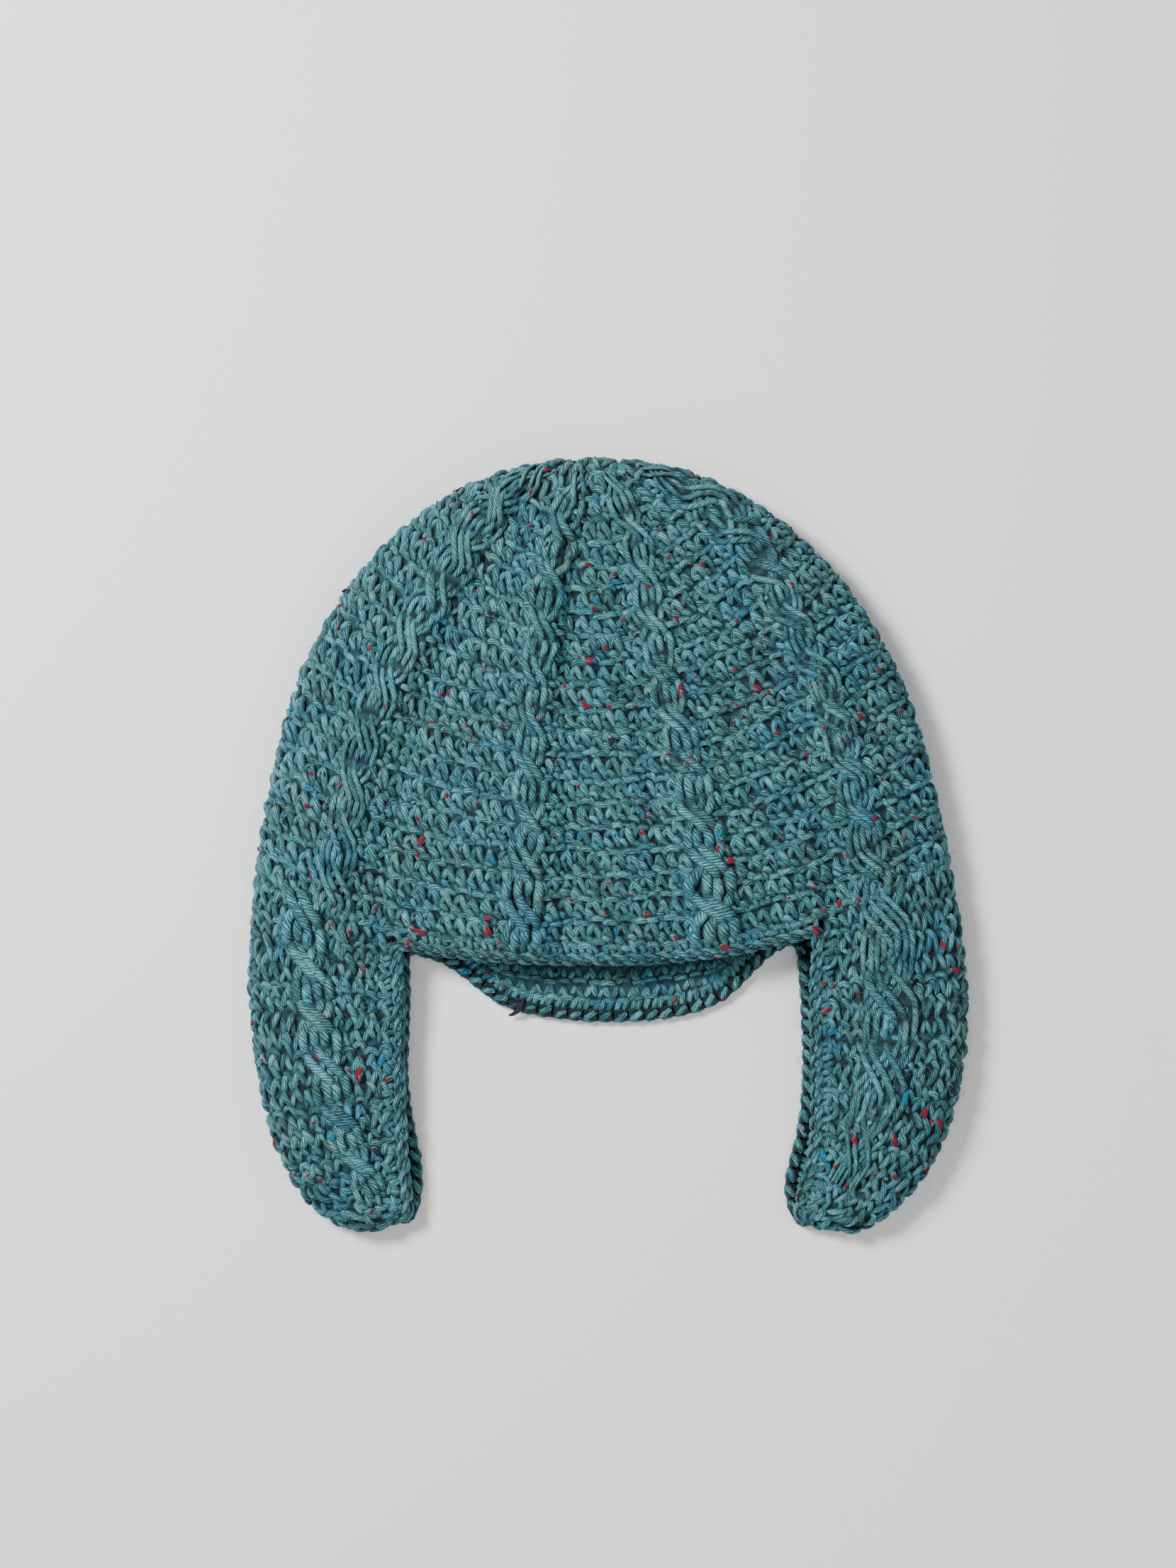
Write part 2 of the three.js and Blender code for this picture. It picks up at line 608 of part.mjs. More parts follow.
// Earflaps: columns run from the front edge over the fold to the back edge.
const flapRows = steps(0, 1, FLAP_SPANS);
const FLAPS = [{ side: -1, word: 'left' }, { side: 1, word: 'right' }];
FLAPS.forEach(({ side, word }) => {
  const sheet = (place, at) => earflapPoint(side, at, place);
  const flip = side < 0 ? -1 : 1;
  const faceOf = (place, at) => {
    const column = hemColumn(side, place);
    if (at === 0) return normalOf(crownAt, place >= 0 ? column + 1 : 3 - column, 1, -1);
    return normalOf(sheet, place, at, flip);
  };
  const skin = (offset) => (place, at) => sheet(place(at), at)
    .addScaledVector(faceOf(place(at), at), offset);
  const middle = (at) => read(FLAP_CABLES[word], 'at', 'place', at);
  const half = (at) => {
    const perPlace = sheet(middle(at) + SPAN, at).distanceTo(sheet(middle(at) - SPAN, at)) / (2 * SPAN);
    const room = Math.min(LEAF_CABLE_REACH.to - middle(at), middle(at) - LEAF_CABLE_REACH.from);
    return Math.min(read(FLAP_CABLES[word], 'at', 'half', at) / perPlace, room);
  };
  const frontSeat = [1, 0, -1].map((u) => (at) => middle(at) + u * half(at));
  const backSeat = [1, 0, -1].map((u) => (at) => u * half(at) * BACK_LEAF_CABLE - middle(at));
  const places = [plain(1), ...frontSeat, ...FLAP_FOLD.map(plain), ...backSeat, plain(-1)];
  if (side < 0) [places, frontSeat, backSeat].forEach((list) => list.reverse());
  group.add(wallSolid(`earflap_${word}`, places, flapRows, skin(WALL / 2), skin(-WALL / 2), false));
  const cable = (name, seat, halfway) => {
    const stations = flapRows.slice(1, -2).map((at) => seat.map((place) => ({
      p: skin(WALL / 2)(place, at),
      n: normalOf(sheet, place(at), at, flip),
    })));
    return cableSolid(name, stations, FLAP_TWISTS, halfway);
  };
  group.add(cable(`cable_${word}_flap_front`, frontSeat, true));
  group.add(cable(`cable_${word}_flap_back`, backSeat, false));
});

// The free edge, walked round once: front hem, right earflap, neck flap, left earflap.
// Each stop holds the wall's middle, the way out of the cloth and the way off its face.
function stop(surface, u, v, outU, outV, flip) {
  const p = surface(u, v);
  const out = p.clone().sub(surface(u - outU * FINE_SPAN, v - outV * FINE_SPAN));
  const behind = surface(u - outV * FINE_SPAN, v - outU * FINE_SPAN);
  const along = surface(u + outV * FINE_SPAN, v + outU * FINE_SPAN).sub(behind).normalize();
  out.addScaledVector(along, -out.dot(along)).normalize();
  return { p, out, face: normalOf(surface, u, v, flip) };
}

function corner(a, b, p) {
  const out = a.out.clone().add(b.out).normalize().multiplyScalar(CORNER_REACH);
  return { p, out, face: a.face.clone().add(b.face).normalize() };
}

function flapStops(side) {
  const sheet = (place, at) => earflapPoint(side, at, place);
  const flip = side < 0 ? -1 : 1;
  const edge = steps(FLAP_EDGE.from, FLAP_EDGE.to, FLAP_STOPS);
  const front = edge.map((at) => stop(sheet, 1, at, 1, 0, flip));
  const tip = steps(FLAP_EDGE.tip, -FLAP_EDGE.tip, TIP_STOPS)
    .map((place) => stop(sheet, place, 1, 0, 1, flip));
  tip.forEach(({ out }) => out.multiplyScalar(TIP_REACH));
  const back = edge.map((at) => stop(sheet, -1, at, -1, 0, flip)).reverse();
  const frontCorner = corner(front[FLAP_STOPS], tip[0], sheet(1, 1));
  const backCorner = corner(tip[TIP_STOPS], back[0], sheet(-1, 1));
  return [...front, frontCorner, ...tip, backCorner, ...back];
}

const hemStops = steps(HEM_FROM + HEM_CORNER, HEM_TO - HEM_CORNER, HEM_STOPS)
  .map((column) => stop(crownAt, column + 1, 1 - LAST_ROW_GAP, 0, 1, -1));
const neckStops = steps(HEM_TO - NECK_CORNER, HEM_FROM + NECK_CORNER, NECK_STOPS).map((column) => {
  const along = neckPoint(column + FINE_SPAN, 1).sub(neckPoint(column - FINE_SPAN, 1));
  const out = new THREE.Vector3(along.y, -along.x, 0).normalize();
  return { p: neckPoint(column, 1), out, face: new THREE.Vector3(0, 0, -1) };
});
const leftStops = flapStops(-1).reverse();
const stops = [...hemStops, ...flapStops(1), ...neckStops, ...leftStops];

// The chain lies beside the edge; a closed curve through the stops gives even steps.
const centres = stops.map(({ p, out }) => {
  const centre = p.clone().addScaledVector(out, EDGE_GAP + EDGE_WIDTH / 2);
  centre.z = Math.max(centre.z, EDGE_THICK / 2);
  return centre;
});
const rounds = centres.map((centre, i) => {
  const before = centres[(i + centres.length - 1) % centres.length];
  const after = centres[(i + 1) % centres.length];
  return centre.clone().multiplyScalar(0.5).addScaledVector(before, 0.25).addScaledVector(after, 0.25);
});
const walk = [0];
rounds.forEach((point, i) => walk.push(walk[i] + point.distanceTo(rounds[(i + 1) % rounds.length])));
const around = walk[rounds.length];
const edgeCount = Math.round(around / EDGE_STEP);
const edgeRings = [];
const cyclic = (list, i) => list[(i + list.length) % list.length];
for (let i = 0; i < edgeCount; i += 1) {
  const target = (around * i) / edgeCount;
  let k = 0;
  while (walk[k + 1] < target) k += 1;
  const t = (target - walk[k]) / (walk[k + 1] - walk[k]);
  const centre = rounds[k].clone().lerp(cyclic(rounds, k + 1), t);
  const ahead = cyclic(rounds, k + 1).clone().sub(rounds[k]).normalize();
  const face = stops[k].face.clone().lerp(cyclic(stops, k + 1).face, t);
  face.addScaledVector(ahead, -face.dot(ahead)).normalize();
  const side = new THREE.Vector3().crossVectors(face, ahead);
  edgeRings.push(steps(0, EDGE_SIDES - 1, EDGE_SIDES - 1).map((s) => {
    const angle = (2 * Math.PI * s) / EDGE_SIDES;
    const point = centre.clone().addScaledVector(side, (Math.cos(angle) * EDGE_WIDTH) / 2);
    point.addScaledVector(face, (Math.sin(angle) * EDGE_THICK) / 2);
    point.z = Math.max(point.z, 0);
    return point;
  }));
}
group.add(rodSolid('edging', edgeRings));

export default group;
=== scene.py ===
import math
from functools import partial
import bpy
import numpy as np
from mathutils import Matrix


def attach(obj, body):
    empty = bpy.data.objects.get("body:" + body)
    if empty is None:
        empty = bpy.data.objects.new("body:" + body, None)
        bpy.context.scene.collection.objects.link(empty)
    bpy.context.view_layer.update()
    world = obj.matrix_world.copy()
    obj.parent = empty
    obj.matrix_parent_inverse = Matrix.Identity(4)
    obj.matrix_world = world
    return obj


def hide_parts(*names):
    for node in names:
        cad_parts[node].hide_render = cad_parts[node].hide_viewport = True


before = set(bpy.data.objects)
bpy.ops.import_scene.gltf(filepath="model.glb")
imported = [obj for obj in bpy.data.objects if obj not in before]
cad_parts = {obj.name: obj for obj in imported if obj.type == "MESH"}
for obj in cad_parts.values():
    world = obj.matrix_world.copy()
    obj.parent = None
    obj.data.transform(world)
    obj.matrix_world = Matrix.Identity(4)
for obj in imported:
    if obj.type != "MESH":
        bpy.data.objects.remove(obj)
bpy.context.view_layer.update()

# A crocheted cap with cable ribs, two earflaps and a neck flap, laid flat on its back.
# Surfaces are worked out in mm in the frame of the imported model, and turned into metres
# when a mesh is made. The cloth follows the formulas of the solids, with deeper grooves and sag.
MM = 0.001
SEED = 20

# Image in pixels, its mm for each pixel, and the pixel over the frame's origin.
IMAGE = (1659, 2212)
PIXEL = 0.28
ORIGIN_PIXEL = (855, 1190.5)
CAMERA_HEIGHT = 1500
SENSOR = 24

# Crown
WALL = 4.0
LAST_ROW = 1 - 0.0038
HALF_WIDTH = 140
CROWN_LENGTH = 200.6
PINCH_PART, PINCH_Y, PINCH_SPAN = 0.017, 14, 42
WIDEST_Y = -50
HEM_Y = -42
OUTLINE_POWER = 2.15
TOP_LEAN = -4.5
FOLD_RADIUS = 5.5
TOP_FOLD_RADIUS = 9
LEFT_END_Y, LEFT_BOW = -16.7, 2.6
RIGHT_END_Y, RIGHT_BOW = -8, 2.1
TOP_BOW = 2
FAN_END = 0.4
HEM_FROM, HEM_TO = -0.6, 0.582
PANEL_SAG, PANEL_START, PANEL_FADE = 2.2, 0.3, 8
LIFT_FADE = 4
GROOVE_DEPTH, GROOVE_OFFSET, GROOVE_WIDTH = 3.4, 0.12, 0.045
GROOVE_SIDES = (1, 1, -1, -1)
VALLEY_DEPTH = 4.5
VALLEY_ROW, VALLEY_ROW_SPAN = 0.59, 0.09
VALLEY_X, VALLEY_X_SPAN = -22, 62
LIFT = {
    "row": (0, 0.1, 0.25, 0.45, 0.65, 0.85, 1),
    "lift": (0, 6, 10.5, 10.5, 9.5, 9, 6.5),
}

# Cables
CABLE_COLUMNS = (-0.75, -0.25, 0.25, 0.75)
CABLE_RISE = 3.5
BACK_RISE_HALF, BACK_RISE_EDGE, BACK_RISE_ENDS = 0.13, 0.055, 0.05
MOST_CABLE_COLUMNS, MOST_BACK_COLUMNS = 0.13, 0.07
FRONT_CABLES = (
    {"row": (0, 0.15, 0.4, 0.7, 1), "stray": (0, 0, 0.01, -0.01, -0.02), "half": (4, 8, 8.5, 7.5, 9)},
    {"row": (0, 0.15, 0.4, 0.7, 1), "stray": (0, -0.03, -0.02, 0.015, 0.01), "half": (4, 7.5, 6.5, 7.5, 9.5)},
    {"row": (0, 0.15, 0.4, 0.7, 1), "stray": (0, 0.03, 0.01, 0.05, 0.07), "half": (4, 6, 6.5, 8.5, 11.5)},
    {"row": (0, 0.15, 0.35, 0.5, 1), "stray": (0, 0.06, 0.08, 0.03, 0.02), "half": (4, 9, 9, 8, 9)},
)
BACK_CABLE = {"row": (0, 0.5, 1), "half": (4.5, 8, 8)}

# Earflaps: the outer fold, then the free edges of the front and the back leaf.
LEFT_FLAP = {
    "at": (0, 0.12, 0.26, 0.4, 0.54, 0.68, 0.82, 0.92, 1),
    "fold_x": (-138.7, -140, -139.6, -137, -132.6, -125.5, -114.5, -99, -86),
    "fold_y": (-17, -38, -62, -86, -108.5, -127, -142.7, -151, -149.8),
    "front_x": (-76, -76.5, -77.5, -77.8, -77.6, -77.2, -76.8, -76.4, -78),
    "front_y": (-37, -51, -66, -83, -99, -113, -125, -133, -137),
    "back_x": (-74, -74.4, -76, -77.2, -76.6, -74.6, -72.6, -72.6, -75.5),
    "back_y": (-38, -52, -66, -83, -98, -111, -123, -132, -136.5),
}
RIGHT_FLAP = {
    "at": (0, 0.12, 0.26, 0.4, 0.54, 0.68, 0.82, 0.92, 1),
    "fold_x": (135, 139.1, 141.2, 140.4, 136.8, 129, 116.5, 101.5, 85),
    "fold_y": (-8, -34, -58, -82, -103, -123, -140, -150.5, -150.3),
    "front_x": (73.5, 75.8, 78.2, 79, 79.2, 79, 77.8, 75.5, 75.5),
    "front_y": (-33, -46, -62, -80, -96, -111, -124, -132, -137.5),
    "back_x": (73.5, 74.6, 75.8, 76.4, 76.2, 74.6, 71.8, 70, 73),
    "back_y": (-37, -50, -64, -81, -97, -111, -123, -132, -137.5),
}
FLAP_BODY = {
    "at": (0, 0.3, 0.7, 0.92, 1),
    "radius": (5.5, 5.2, 4.6, 3.8, 3.3),
    "lift": (0, 3, 2.6, 1, 0),
}
# Each side's cable: its course, its strands on either side and the mm between crossings.
FLAP_CABLES = {
    -1: {
        "at": (0, 0.4, 0.82), "place": (0.42, 0.52, 0.66), "half": (8.5, 7.5, 6),
        "strands": 2, "period": 20,
    },
    1: {
        "at": (0, 0.4, 0.82), "place": (0.55, 0.57, 0.7), "half": (10, 11, 6),
        "strands": 4, "period": 30,
    },
}
BACK_LEAF_CABLE = 0.75
LEAF_RISE_SLOPE = 5
LEAF_RISE_FROM, LEAF_RISE_IN, LEAF_RISE_TO, LEAF_RISE_OUT = 0.02, 0.07, 0.9, 0.08
SETTLE = 0.3
LEAF_SWELL = 1.15
LEAST_LEAF = 0.9
NECK = {
    "column": (-0.6, -0.515, -0.43, -0.365, -0.27, -0.08, 0.12, 0.265, 0.345, 0.41, 0.48, 0.582),
    "drop": (0.6, 1, 3.4, 9, 17.5, 21.8, 22, 20, 15, 7, 1.5, 0.6),
}

# Edging
EDGE_GAP = 0.65
EDGE_WIDTH = 6.2
EDGE_THICK = 5
FLAP_EDGE_FROM, FLAP_EDGE_TO, FLAP_TIP = 0.06, 0.98, 0.8
HEM_CORNER, NECK_CORNER = 0.026, 0.05
TIP_REACH, CORNER_REACH = 1.15, 1.45
FLAP_STOPS, TIP_STOPS, HEM_STOPS, NECK_STOPS = 36, 6, 50, 60
FINE_SPAN, FINEST_SPAN = 0.01, 0.001
EDGE_PITCH, EDGE_PROBE = 6.0, 0.6
CHAIN_ACROSS, CHAIN_HIGH, CHAIN_IN = 2.0, 1.3, 0.7
SEAM_TURN = 0.75
EDGE_CORE, EDGE_CORE_MESH, EDGE_CORE_LAP = (4.2, 3.0), (9, 6), 0.05
STEP_PLAY, TURN_PLAY, LINK_PLAY, LEG_PLAY = 0.05, 0.07, 0.06, 0.06
CHAIN_PLUMP, LEG_PLUMP = 0.8, 0.9
# Legs of a link that go into the cloth: how far along the link, and on its face or its back.
CHAIN_LEGS = ((0.1, 1), (0.6, 1), (0.1, -1), (0.6, -1))

# Cloth under the stitches: its faces as heights over the middle of the wall, and its laps.
OUT, INSIDE = WALL / 2 - 0.9, -WALL / 2 + 0.2
CLOTH_TOP, FLAP_CLOTH_LAP, NECK_CLOTH_LAP, NECK_CLOTH_IN = 0.012, 0.009, 0.05, 0.01
RIM = 0.5
WALL_TILE, WALL_TILE_EDGE = 1.02, 0.003
PROBE = 0.04

# Stitches: rings and sides of a strand, and mm for each stitch.
FRONT_MESH, BACK_MESH, CABLE_MESH = (7, 6), (6, 5), (8, 8)
ROW_STEPS, CABLE_STEPS = 25, 120
ROUNDS = 21
FIRST_ROUND_ROW = 0.008
STITCH = 5.4
FLAP_ROWS = 13
FIRST_FLAP_ROW = -0.035
FLAP_STITCH = 4.8
FLAP_LAP = 0.004
NECK_STITCH = 5.6
NECK_ROWS = np.array([-1.1, -0.72, -0.36, 0.0, 0.34, 0.67, 1.0])
UNDER_CABLE = 0.6
FLAP_TO_CROWN = 0.55
NECK_TO_CROWN = 0.1
STITCH_HEAD = 0.3
STRAND_SINK, STRAND_LIFT = 0.5, 0.18
WIDTH_PLAY = 0.08
PLUMP = 0.95
STITCH_TWIST = (9, 2.6)
YARN_STRETCH = 40
TILE_EDGE = 0.06

# Yarn on the floor: how far down a strand has to face, and how it is pressed.
PRESS_FROM, PRESS_OVER = 0.3, 0.5
FLOOR_PRESS, FLOOR_SPREAD, FLOOR_PLAY = 0.9, 0.2, 0.15

# Strands of the cables. The tops are rows of the crown, and the ends parts of an earflap.
CABLE_STRANDS = (3, 2, 2, 3)
CABLE_TOPS, BACK_CABLE_TOP = (0.08, 0.05, 0.05, 0.08), 0.13
FLAP_CABLE_START = {"front": -0.05, "back": 0.0}
FLAP_CABLE_END, FLAP_CORE_END = 0.88, 0.84
CABLE_PERIOD = 20
CABLE_FILL = 1.08
CABLE_SLIM = 0.86
CABLE_PLUMP = 0.85
CABLE_LOOSE = 0.05
CABLE_DIVE, CABLE_DIVE_SPAN = 3.0, 0.035
CABLE_TWIST = (7, 1.5)
ROPE_LAG = 0.07
CORE_THICK, CORE_MESH = 3.4, (48, 10)

# Flecks and fuzz. The loose end of yarn runs from, to and with a bend.
LOOSE_FLECKS = 760
FLECK_SEARCH = 2.5
FLECK_LENGTH, SHOWN_STRETCH = (1.6, 4.2), 1.5
STREAKS, SHOWN_STREAKS = 2, 4
STREAK, STREAK_SPAN = (0.7, 1.5), (0.5, 1)
STREAK_ASIDE, STREAK_SHIFT, STREAK_SINK, STREAK_BEND, STREAK_PLUMP = 0.32, 0.12, 0.06, 0.35, 0.7
HAIRS = 3800
HAIR_LENGTH, HAIR_RISE, HAIR_CURL, HAIR_THICK = (2.5, 8), (0.2, 2.2), 1.6, 0.1
HAIR_ROOT, HAIR_ARCH, HAIR_PLAY = 0.45, 0.8, 0.3
LOOSE_END = ((-32.5, -60.5, 5.0), (-38.2, -67.6, 2.6), (1.0, -1.0, 1.0))
LOOSE_END_SIZE = (1.9, 1.7)
STREAK_MESH, LOOSE_END_MESH, HAIR_MESH = (5, 4), (7, 8), (4, 3)

SPARE = math.pi / 2 - 1
FLAT_WIDTH = HALF_WIDTH - WALL / 2 + SPARE * FOLD_RADIUS
FLAT_LENGTH = CROWN_LENGTH - WALL / 2 + SPARE * TOP_FOLD_RADIUS
TOP_Y = WIDEST_Y + FLAT_LENGTH

rng = np.random.default_rng(SEED)
# The yarn that flecks and hairs may start from.
hosts = []
# Cables round the crown in the order of their turns: (index, on the front).
ROUND_CABLES = [(k, True) for k in range(4)] + [(k, False) for k in (3, 2, 1, 0)]


def smooth(t):
    s = np.clip(t, 0, 1)
    return s * s * (3 - 2 * s)


def bell(x, span):
    return np.exp(-((x / span) ** 2))


def unit(v):
    return v / np.maximum(np.linalg.norm(v, axis=-1, keepdims=True), 1e-9)


def square_to(ahead, way):
    """The direction nearest to a way that stands square to the way ahead."""
    return unit(way - ahead * np.sum(way * ahead, -1, keepdims=True))


def sums(steps):
    """The length so far at each end of a row of steps."""
    return np.concatenate([[0], np.cumsum(steps)])


def run_along(path):
    return sums(np.linalg.norm(np.diff(path, axis=0), axis=-1))


def read(table, key, name, at):
    """Cubic reading of a table between its rows."""
    keys = np.asarray(table[key], float)
    values = np.asarray(table[name], float)
    at = np.clip(at, keys[0], keys[-1])
    i = np.clip(np.searchsorted(keys, at, side="right") - 1, 0, len(keys) - 2)
    low = np.maximum(i - 1, 0)
    high = np.minimum(i + 2, len(keys) - 1)
    span = keys[i + 1] - keys[i]
    t = (at - keys[i]) / span
    a, b = values[i], values[i + 1]
    start = (b - values[low]) / (keys[i + 1] - keys[low]) * span
    end = (values[high] - a) / (keys[high] - keys[i]) * span
    return a + t * (start + t * (3 * (b - a) - 2 * start - end + t * (2 * (a - b) + start + end)))


# The side fold of the crown in the flat, walked from the top.
FOLD_ANGLE = np.linspace(0, math.pi / 2, 601)
FOLD_X = FLAT_WIDTH * np.sin(FOLD_ANGLE) ** (2 / OUTLINE_POWER)
FOLD_Y = WIDEST_Y + FLAT_LENGTH * np.maximum(np.cos(FOLD_ANGLE), 0) ** (2 / OUTLINE_POWER)
FOLD_RUN = sums(np.hypot(np.diff(FOLD_X), np.diff(FOLD_Y)))
LEFT_RUN = np.interp(-LEFT_END_Y, -FOLD_Y, FOLD_RUN)
RIGHT_RUN = np.interp(-RIGHT_END_Y, -FOLD_Y, FOLD_RUN)


def stray_at(row, column):
    """Columns follow the cables, so the stray of the nearest ones shifts the whole panel."""
    shift = np.zeros(np.broadcast(row, column).shape)
    for table, place in zip(FRONT_CABLES, CABLE_COLUMNS):
        outside = (abs(place) > 0.5) & (np.abs(column) > abs(place))
        near = np.maximum(0, 1 - np.abs(column - place) / np.where(outside, 0.25, 0.5))
        shift = shift + near * read(table, "row", "stray", row)
    return shift


def row_point(row, column):
    """Place of a stitch in the flat: row 0 is the crown centre and 1 the hem."""
    left = column < 0
    run = row * np.where(left, LEFT_RUN, RIGHT_RUN)
    fold_x = np.interp(run, FOLD_RUN, FOLD_X)
    fold_y = np.interp(run, FOLD_RUN, FOLD_Y)
    out = np.abs(column)
    centre_y = TOP_Y - row * (TOP_Y - HEM_Y)
    blend = smooth(row / FAN_END)
    bow = TOP_BOW + (np.where(left, LEFT_BOW, RIGHT_BOW) - TOP_BOW) * row
    across = (1 - blend) * np.sin(math.pi / 2 * out) + blend * out
    return np.sign(column) * fold_x * across, fold_y - (fold_y - centre_y) * (1 - out ** bow)


def front_lift(row, column, x, rim):
    body = read(LIFT, "row", "lift", row) * (1 - rim ** LIFT_FADE)
    sag = PANEL_SAG / 2 * (1 + np.cos(4 * math.pi * column))
    groove = 0
    for side, place in zip(GROOVE_SIDES, CABLE_COLUMNS):
        groove = groove + bell(column - place - side * GROOVE_OFFSET, GROOVE_WIDTH)
    panel = (sag + GROOVE_DEPTH * groove) * smooth(row / PANEL_START) * (1 - rim ** PANEL_FADE)
    valley = VALLEY_DEPTH * bell(row - VALLEY_ROW, VALLEY_ROW_SPAN) * bell(x - VALLEY_X, VALLEY_X_SPAN)
    return body - panel - valley


def back_rise(row, column):
    rise = 0
    for place in CABLE_COLUMNS:
        rise = np.maximum(rise, smooth((BACK_RISE_HALF - np.abs(column - place)) / BACK_RISE_EDGE))
    ends = smooth((row - BACK_RISE_ENDS) / BACK_RISE_ENDS) * smooth((1 - row) / BACK_RISE_ENDS)
    return CABLE_RISE * rise * ends


def crown_point(turn, row):
    """Middle of the crown wall. Turns 0 to 2 run over the front, 2 to 4 back under it."""
    turn, row = np.broadcast_arrays(np.mod(turn, 4), np.asarray(row, float))
    front = turn <= 2
    column = np.where(front, turn - 1, 3 - turn)
    flat_x, flat_y = row_point(row, column + np.where(front, stray_at(row, column), 0))
    dy = flat_y - WIDEST_Y
    far = np.hypot(flat_x, dy)
    rim = (np.abs(flat_x) / FLAT_WIDTH) ** OUTLINE_POWER + (np.abs(dy) / FLAT_LENGTH) ** OUTLINE_POWER
    rim = rim ** (1 / OUTLINE_POWER)
    high = np.clip(dy / FLAT_LENGTH, 0, 1)
    radius = FOLD_RADIUS + (TOP_FOLD_RADIUS - FOLD_RADIUS) * high
    reach = far / np.maximum(rim, 1e-9)
    inward = np.maximum(reach - far, 0)
    roll = np.minimum(inward / radius, math.pi / 2)
    rolled = SPARE * radius + radius * (1 - np.cos(roll))
    laid = np.where(inward < radius * math.pi / 2, rolled, inward)
    scale = (reach - laid) / np.maximum(far, 1e-9)
    lift = np.where(front, front_lift(row, column, flat_x, np.minimum(rim, 1)), back_rise(row, column))
    z = WALL / 2 + radius + (np.where(front, radius, -radius) + lift) * np.sin(roll)
    y = WIDEST_Y + dy * scale
    pinch = 1 - PINCH_PART * bell(y - PINCH_Y, PINCH_SPAN)
    return np.stack([flat_x * scale * pinch + TOP_LEAN * high, y, z], -1)


def leaf_rise(side, at, place, length):
    table = FLAP_CABLES[side]
    off = np.abs(np.abs(place) - read(table, "at", "place", at)) * length
    half = read(table, "at", "half", at) * BACK_LEAF_CABLE
    ends = smooth((at - LEAF_RISE_FROM) / LEAF_RISE_IN) * smooth((LEAF_RISE_TO - at) / LEAF_RISE_OUT)
    return CABLE_RISE * smooth((half + LEAF_RISE_SLOPE - off) / LEAF_RISE_SLOPE) * ends


def flap_point(side, place, at):
    """Middle of an earflap wall: place 1 is the front edge, 0 the fold, -1 the back edge."""
    table = LEFT_FLAP if side < 0 else RIGHT_FLAP
    place, at = np.broadcast_arrays(np.asarray(place, float), np.asarray(at, float))
    front, back, fold = (
        np.stack([read(table, "at", f"{word}_{axis}", at) for axis in "xy"], -1)
        for word in ("front", "back", "fold")
    )
    along = np.where((place >= 0)[..., None], front, back) - fold
    radius = read(FLAP_BODY, "at", "radius", at)
    span = np.linalg.norm(along, axis=-1)
    length = np.maximum(span - WALL / 2 - EDGE_WIDTH - EDGE_GAP, radius * LEAST_LEAF) + SPARE * radius
    inward = np.abs(place) * length
    roll = np.minimum(inward / radius, math.pi / 2)
    laid = np.where(roll < math.pi / 2, radius * (1 - np.cos(roll)), inward - SPARE * radius)
    flat = fold + along * ((WALL / 2 + laid) / span)[..., None]
    swell = read(FLAP_BODY, "at", "lift", at) * np.sin(math.pi * np.minimum(np.abs(place) * LEAF_SWELL, 1))
    lift = np.where(place > 0, swell, leaf_rise(side, at, place, length))
    z = WALL / 2 + radius + np.sign(place) * radius * np.sin(roll) + lift
    return np.concatenate([flat, z[..., None]], -1)


def hem_column(side, place):
    corner = -HEM_FROM if side < 0 else HEM_TO
    return side * (1 - np.abs(place) * (1 - corner))


def earflap_point(side, place, at):
    """The first rows of an earflap settle from the last row of the crown, and below 0 lie on it."""
    place, at = np.broadcast_arrays(np.asarray(place, float), np.asarray(at, float))
    column = hem_column(side, place)
    turn = np.where(place >= 0, column + 1, 3 - column)
    shift = crown_point(turn, 1.0) - flap_point(side, place, 0.0)
    down = np.maximum(at, 0)
    below = flap_point(side, place, down) + shift * (1 - smooth(down / SETTLE))[..., None]
    above = crown_point(turn, 1 + FLAP_TO_CROWN * np.minimum(at, 0))
    return np.where((at < 0)[..., None], above, below)


def neck_point(column, at):
    column, at = np.broadcast_arrays(np.asarray(column, float), np.asarray(at, float))
    hem = crown_point(3 - column, 1 + NECK_TO_CROWN * np.minimum(at, 0))
    hem[..., 1] -= np.maximum(at, 0) * np.maximum(read(NECK, "column", "drop", column), 0)
    return hem


class Sheet:
    """A cloth surface kept on a grid, read at any place with its outward normal."""

    def __init__(self, point, u_range, v_range, counts, flip):
        self.u = np.linspace(*u_range, counts[0])
        self.v = np.linspace(*v_range, counts[1])
        self.middle = point(*np.meshgrid(self.u, self.v, indexing="ij"))
        across = np.gradient(self.middle, axis=0)
        down = np.gradient(self.middle, axis=1)
        self.normal = unit(flip * np.cross(across, down))

    def read(self, u, v, height=0.0):
        u, v, height = np.broadcast_arrays(u, v, height)
        i = np.clip((u - self.u[0]) / (self.u[1] - self.u[0]), 0, len(self.u) - 1.001)
        j = np.clip((v - self.v[0]) / (self.v[1] - self.v[0]), 0, len(self.v) - 1.001)
        a, b = i.astype(int), j.astype(int)
        s, t = (i - a)[..., None], (j - b)[..., None]
        parts = []
        for grid in (self.middle, self.normal):
            top = grid[a, b] * (1 - s) + grid[a + 1, b] * s
            low = grid[a, b + 1] * (1 - s) + grid[a + 1, b + 1] * s
            parts.append(top * (1 - t) + low * t)
        normal = unit(parts[1])
        return parts[0] + normal * height[..., None], normal


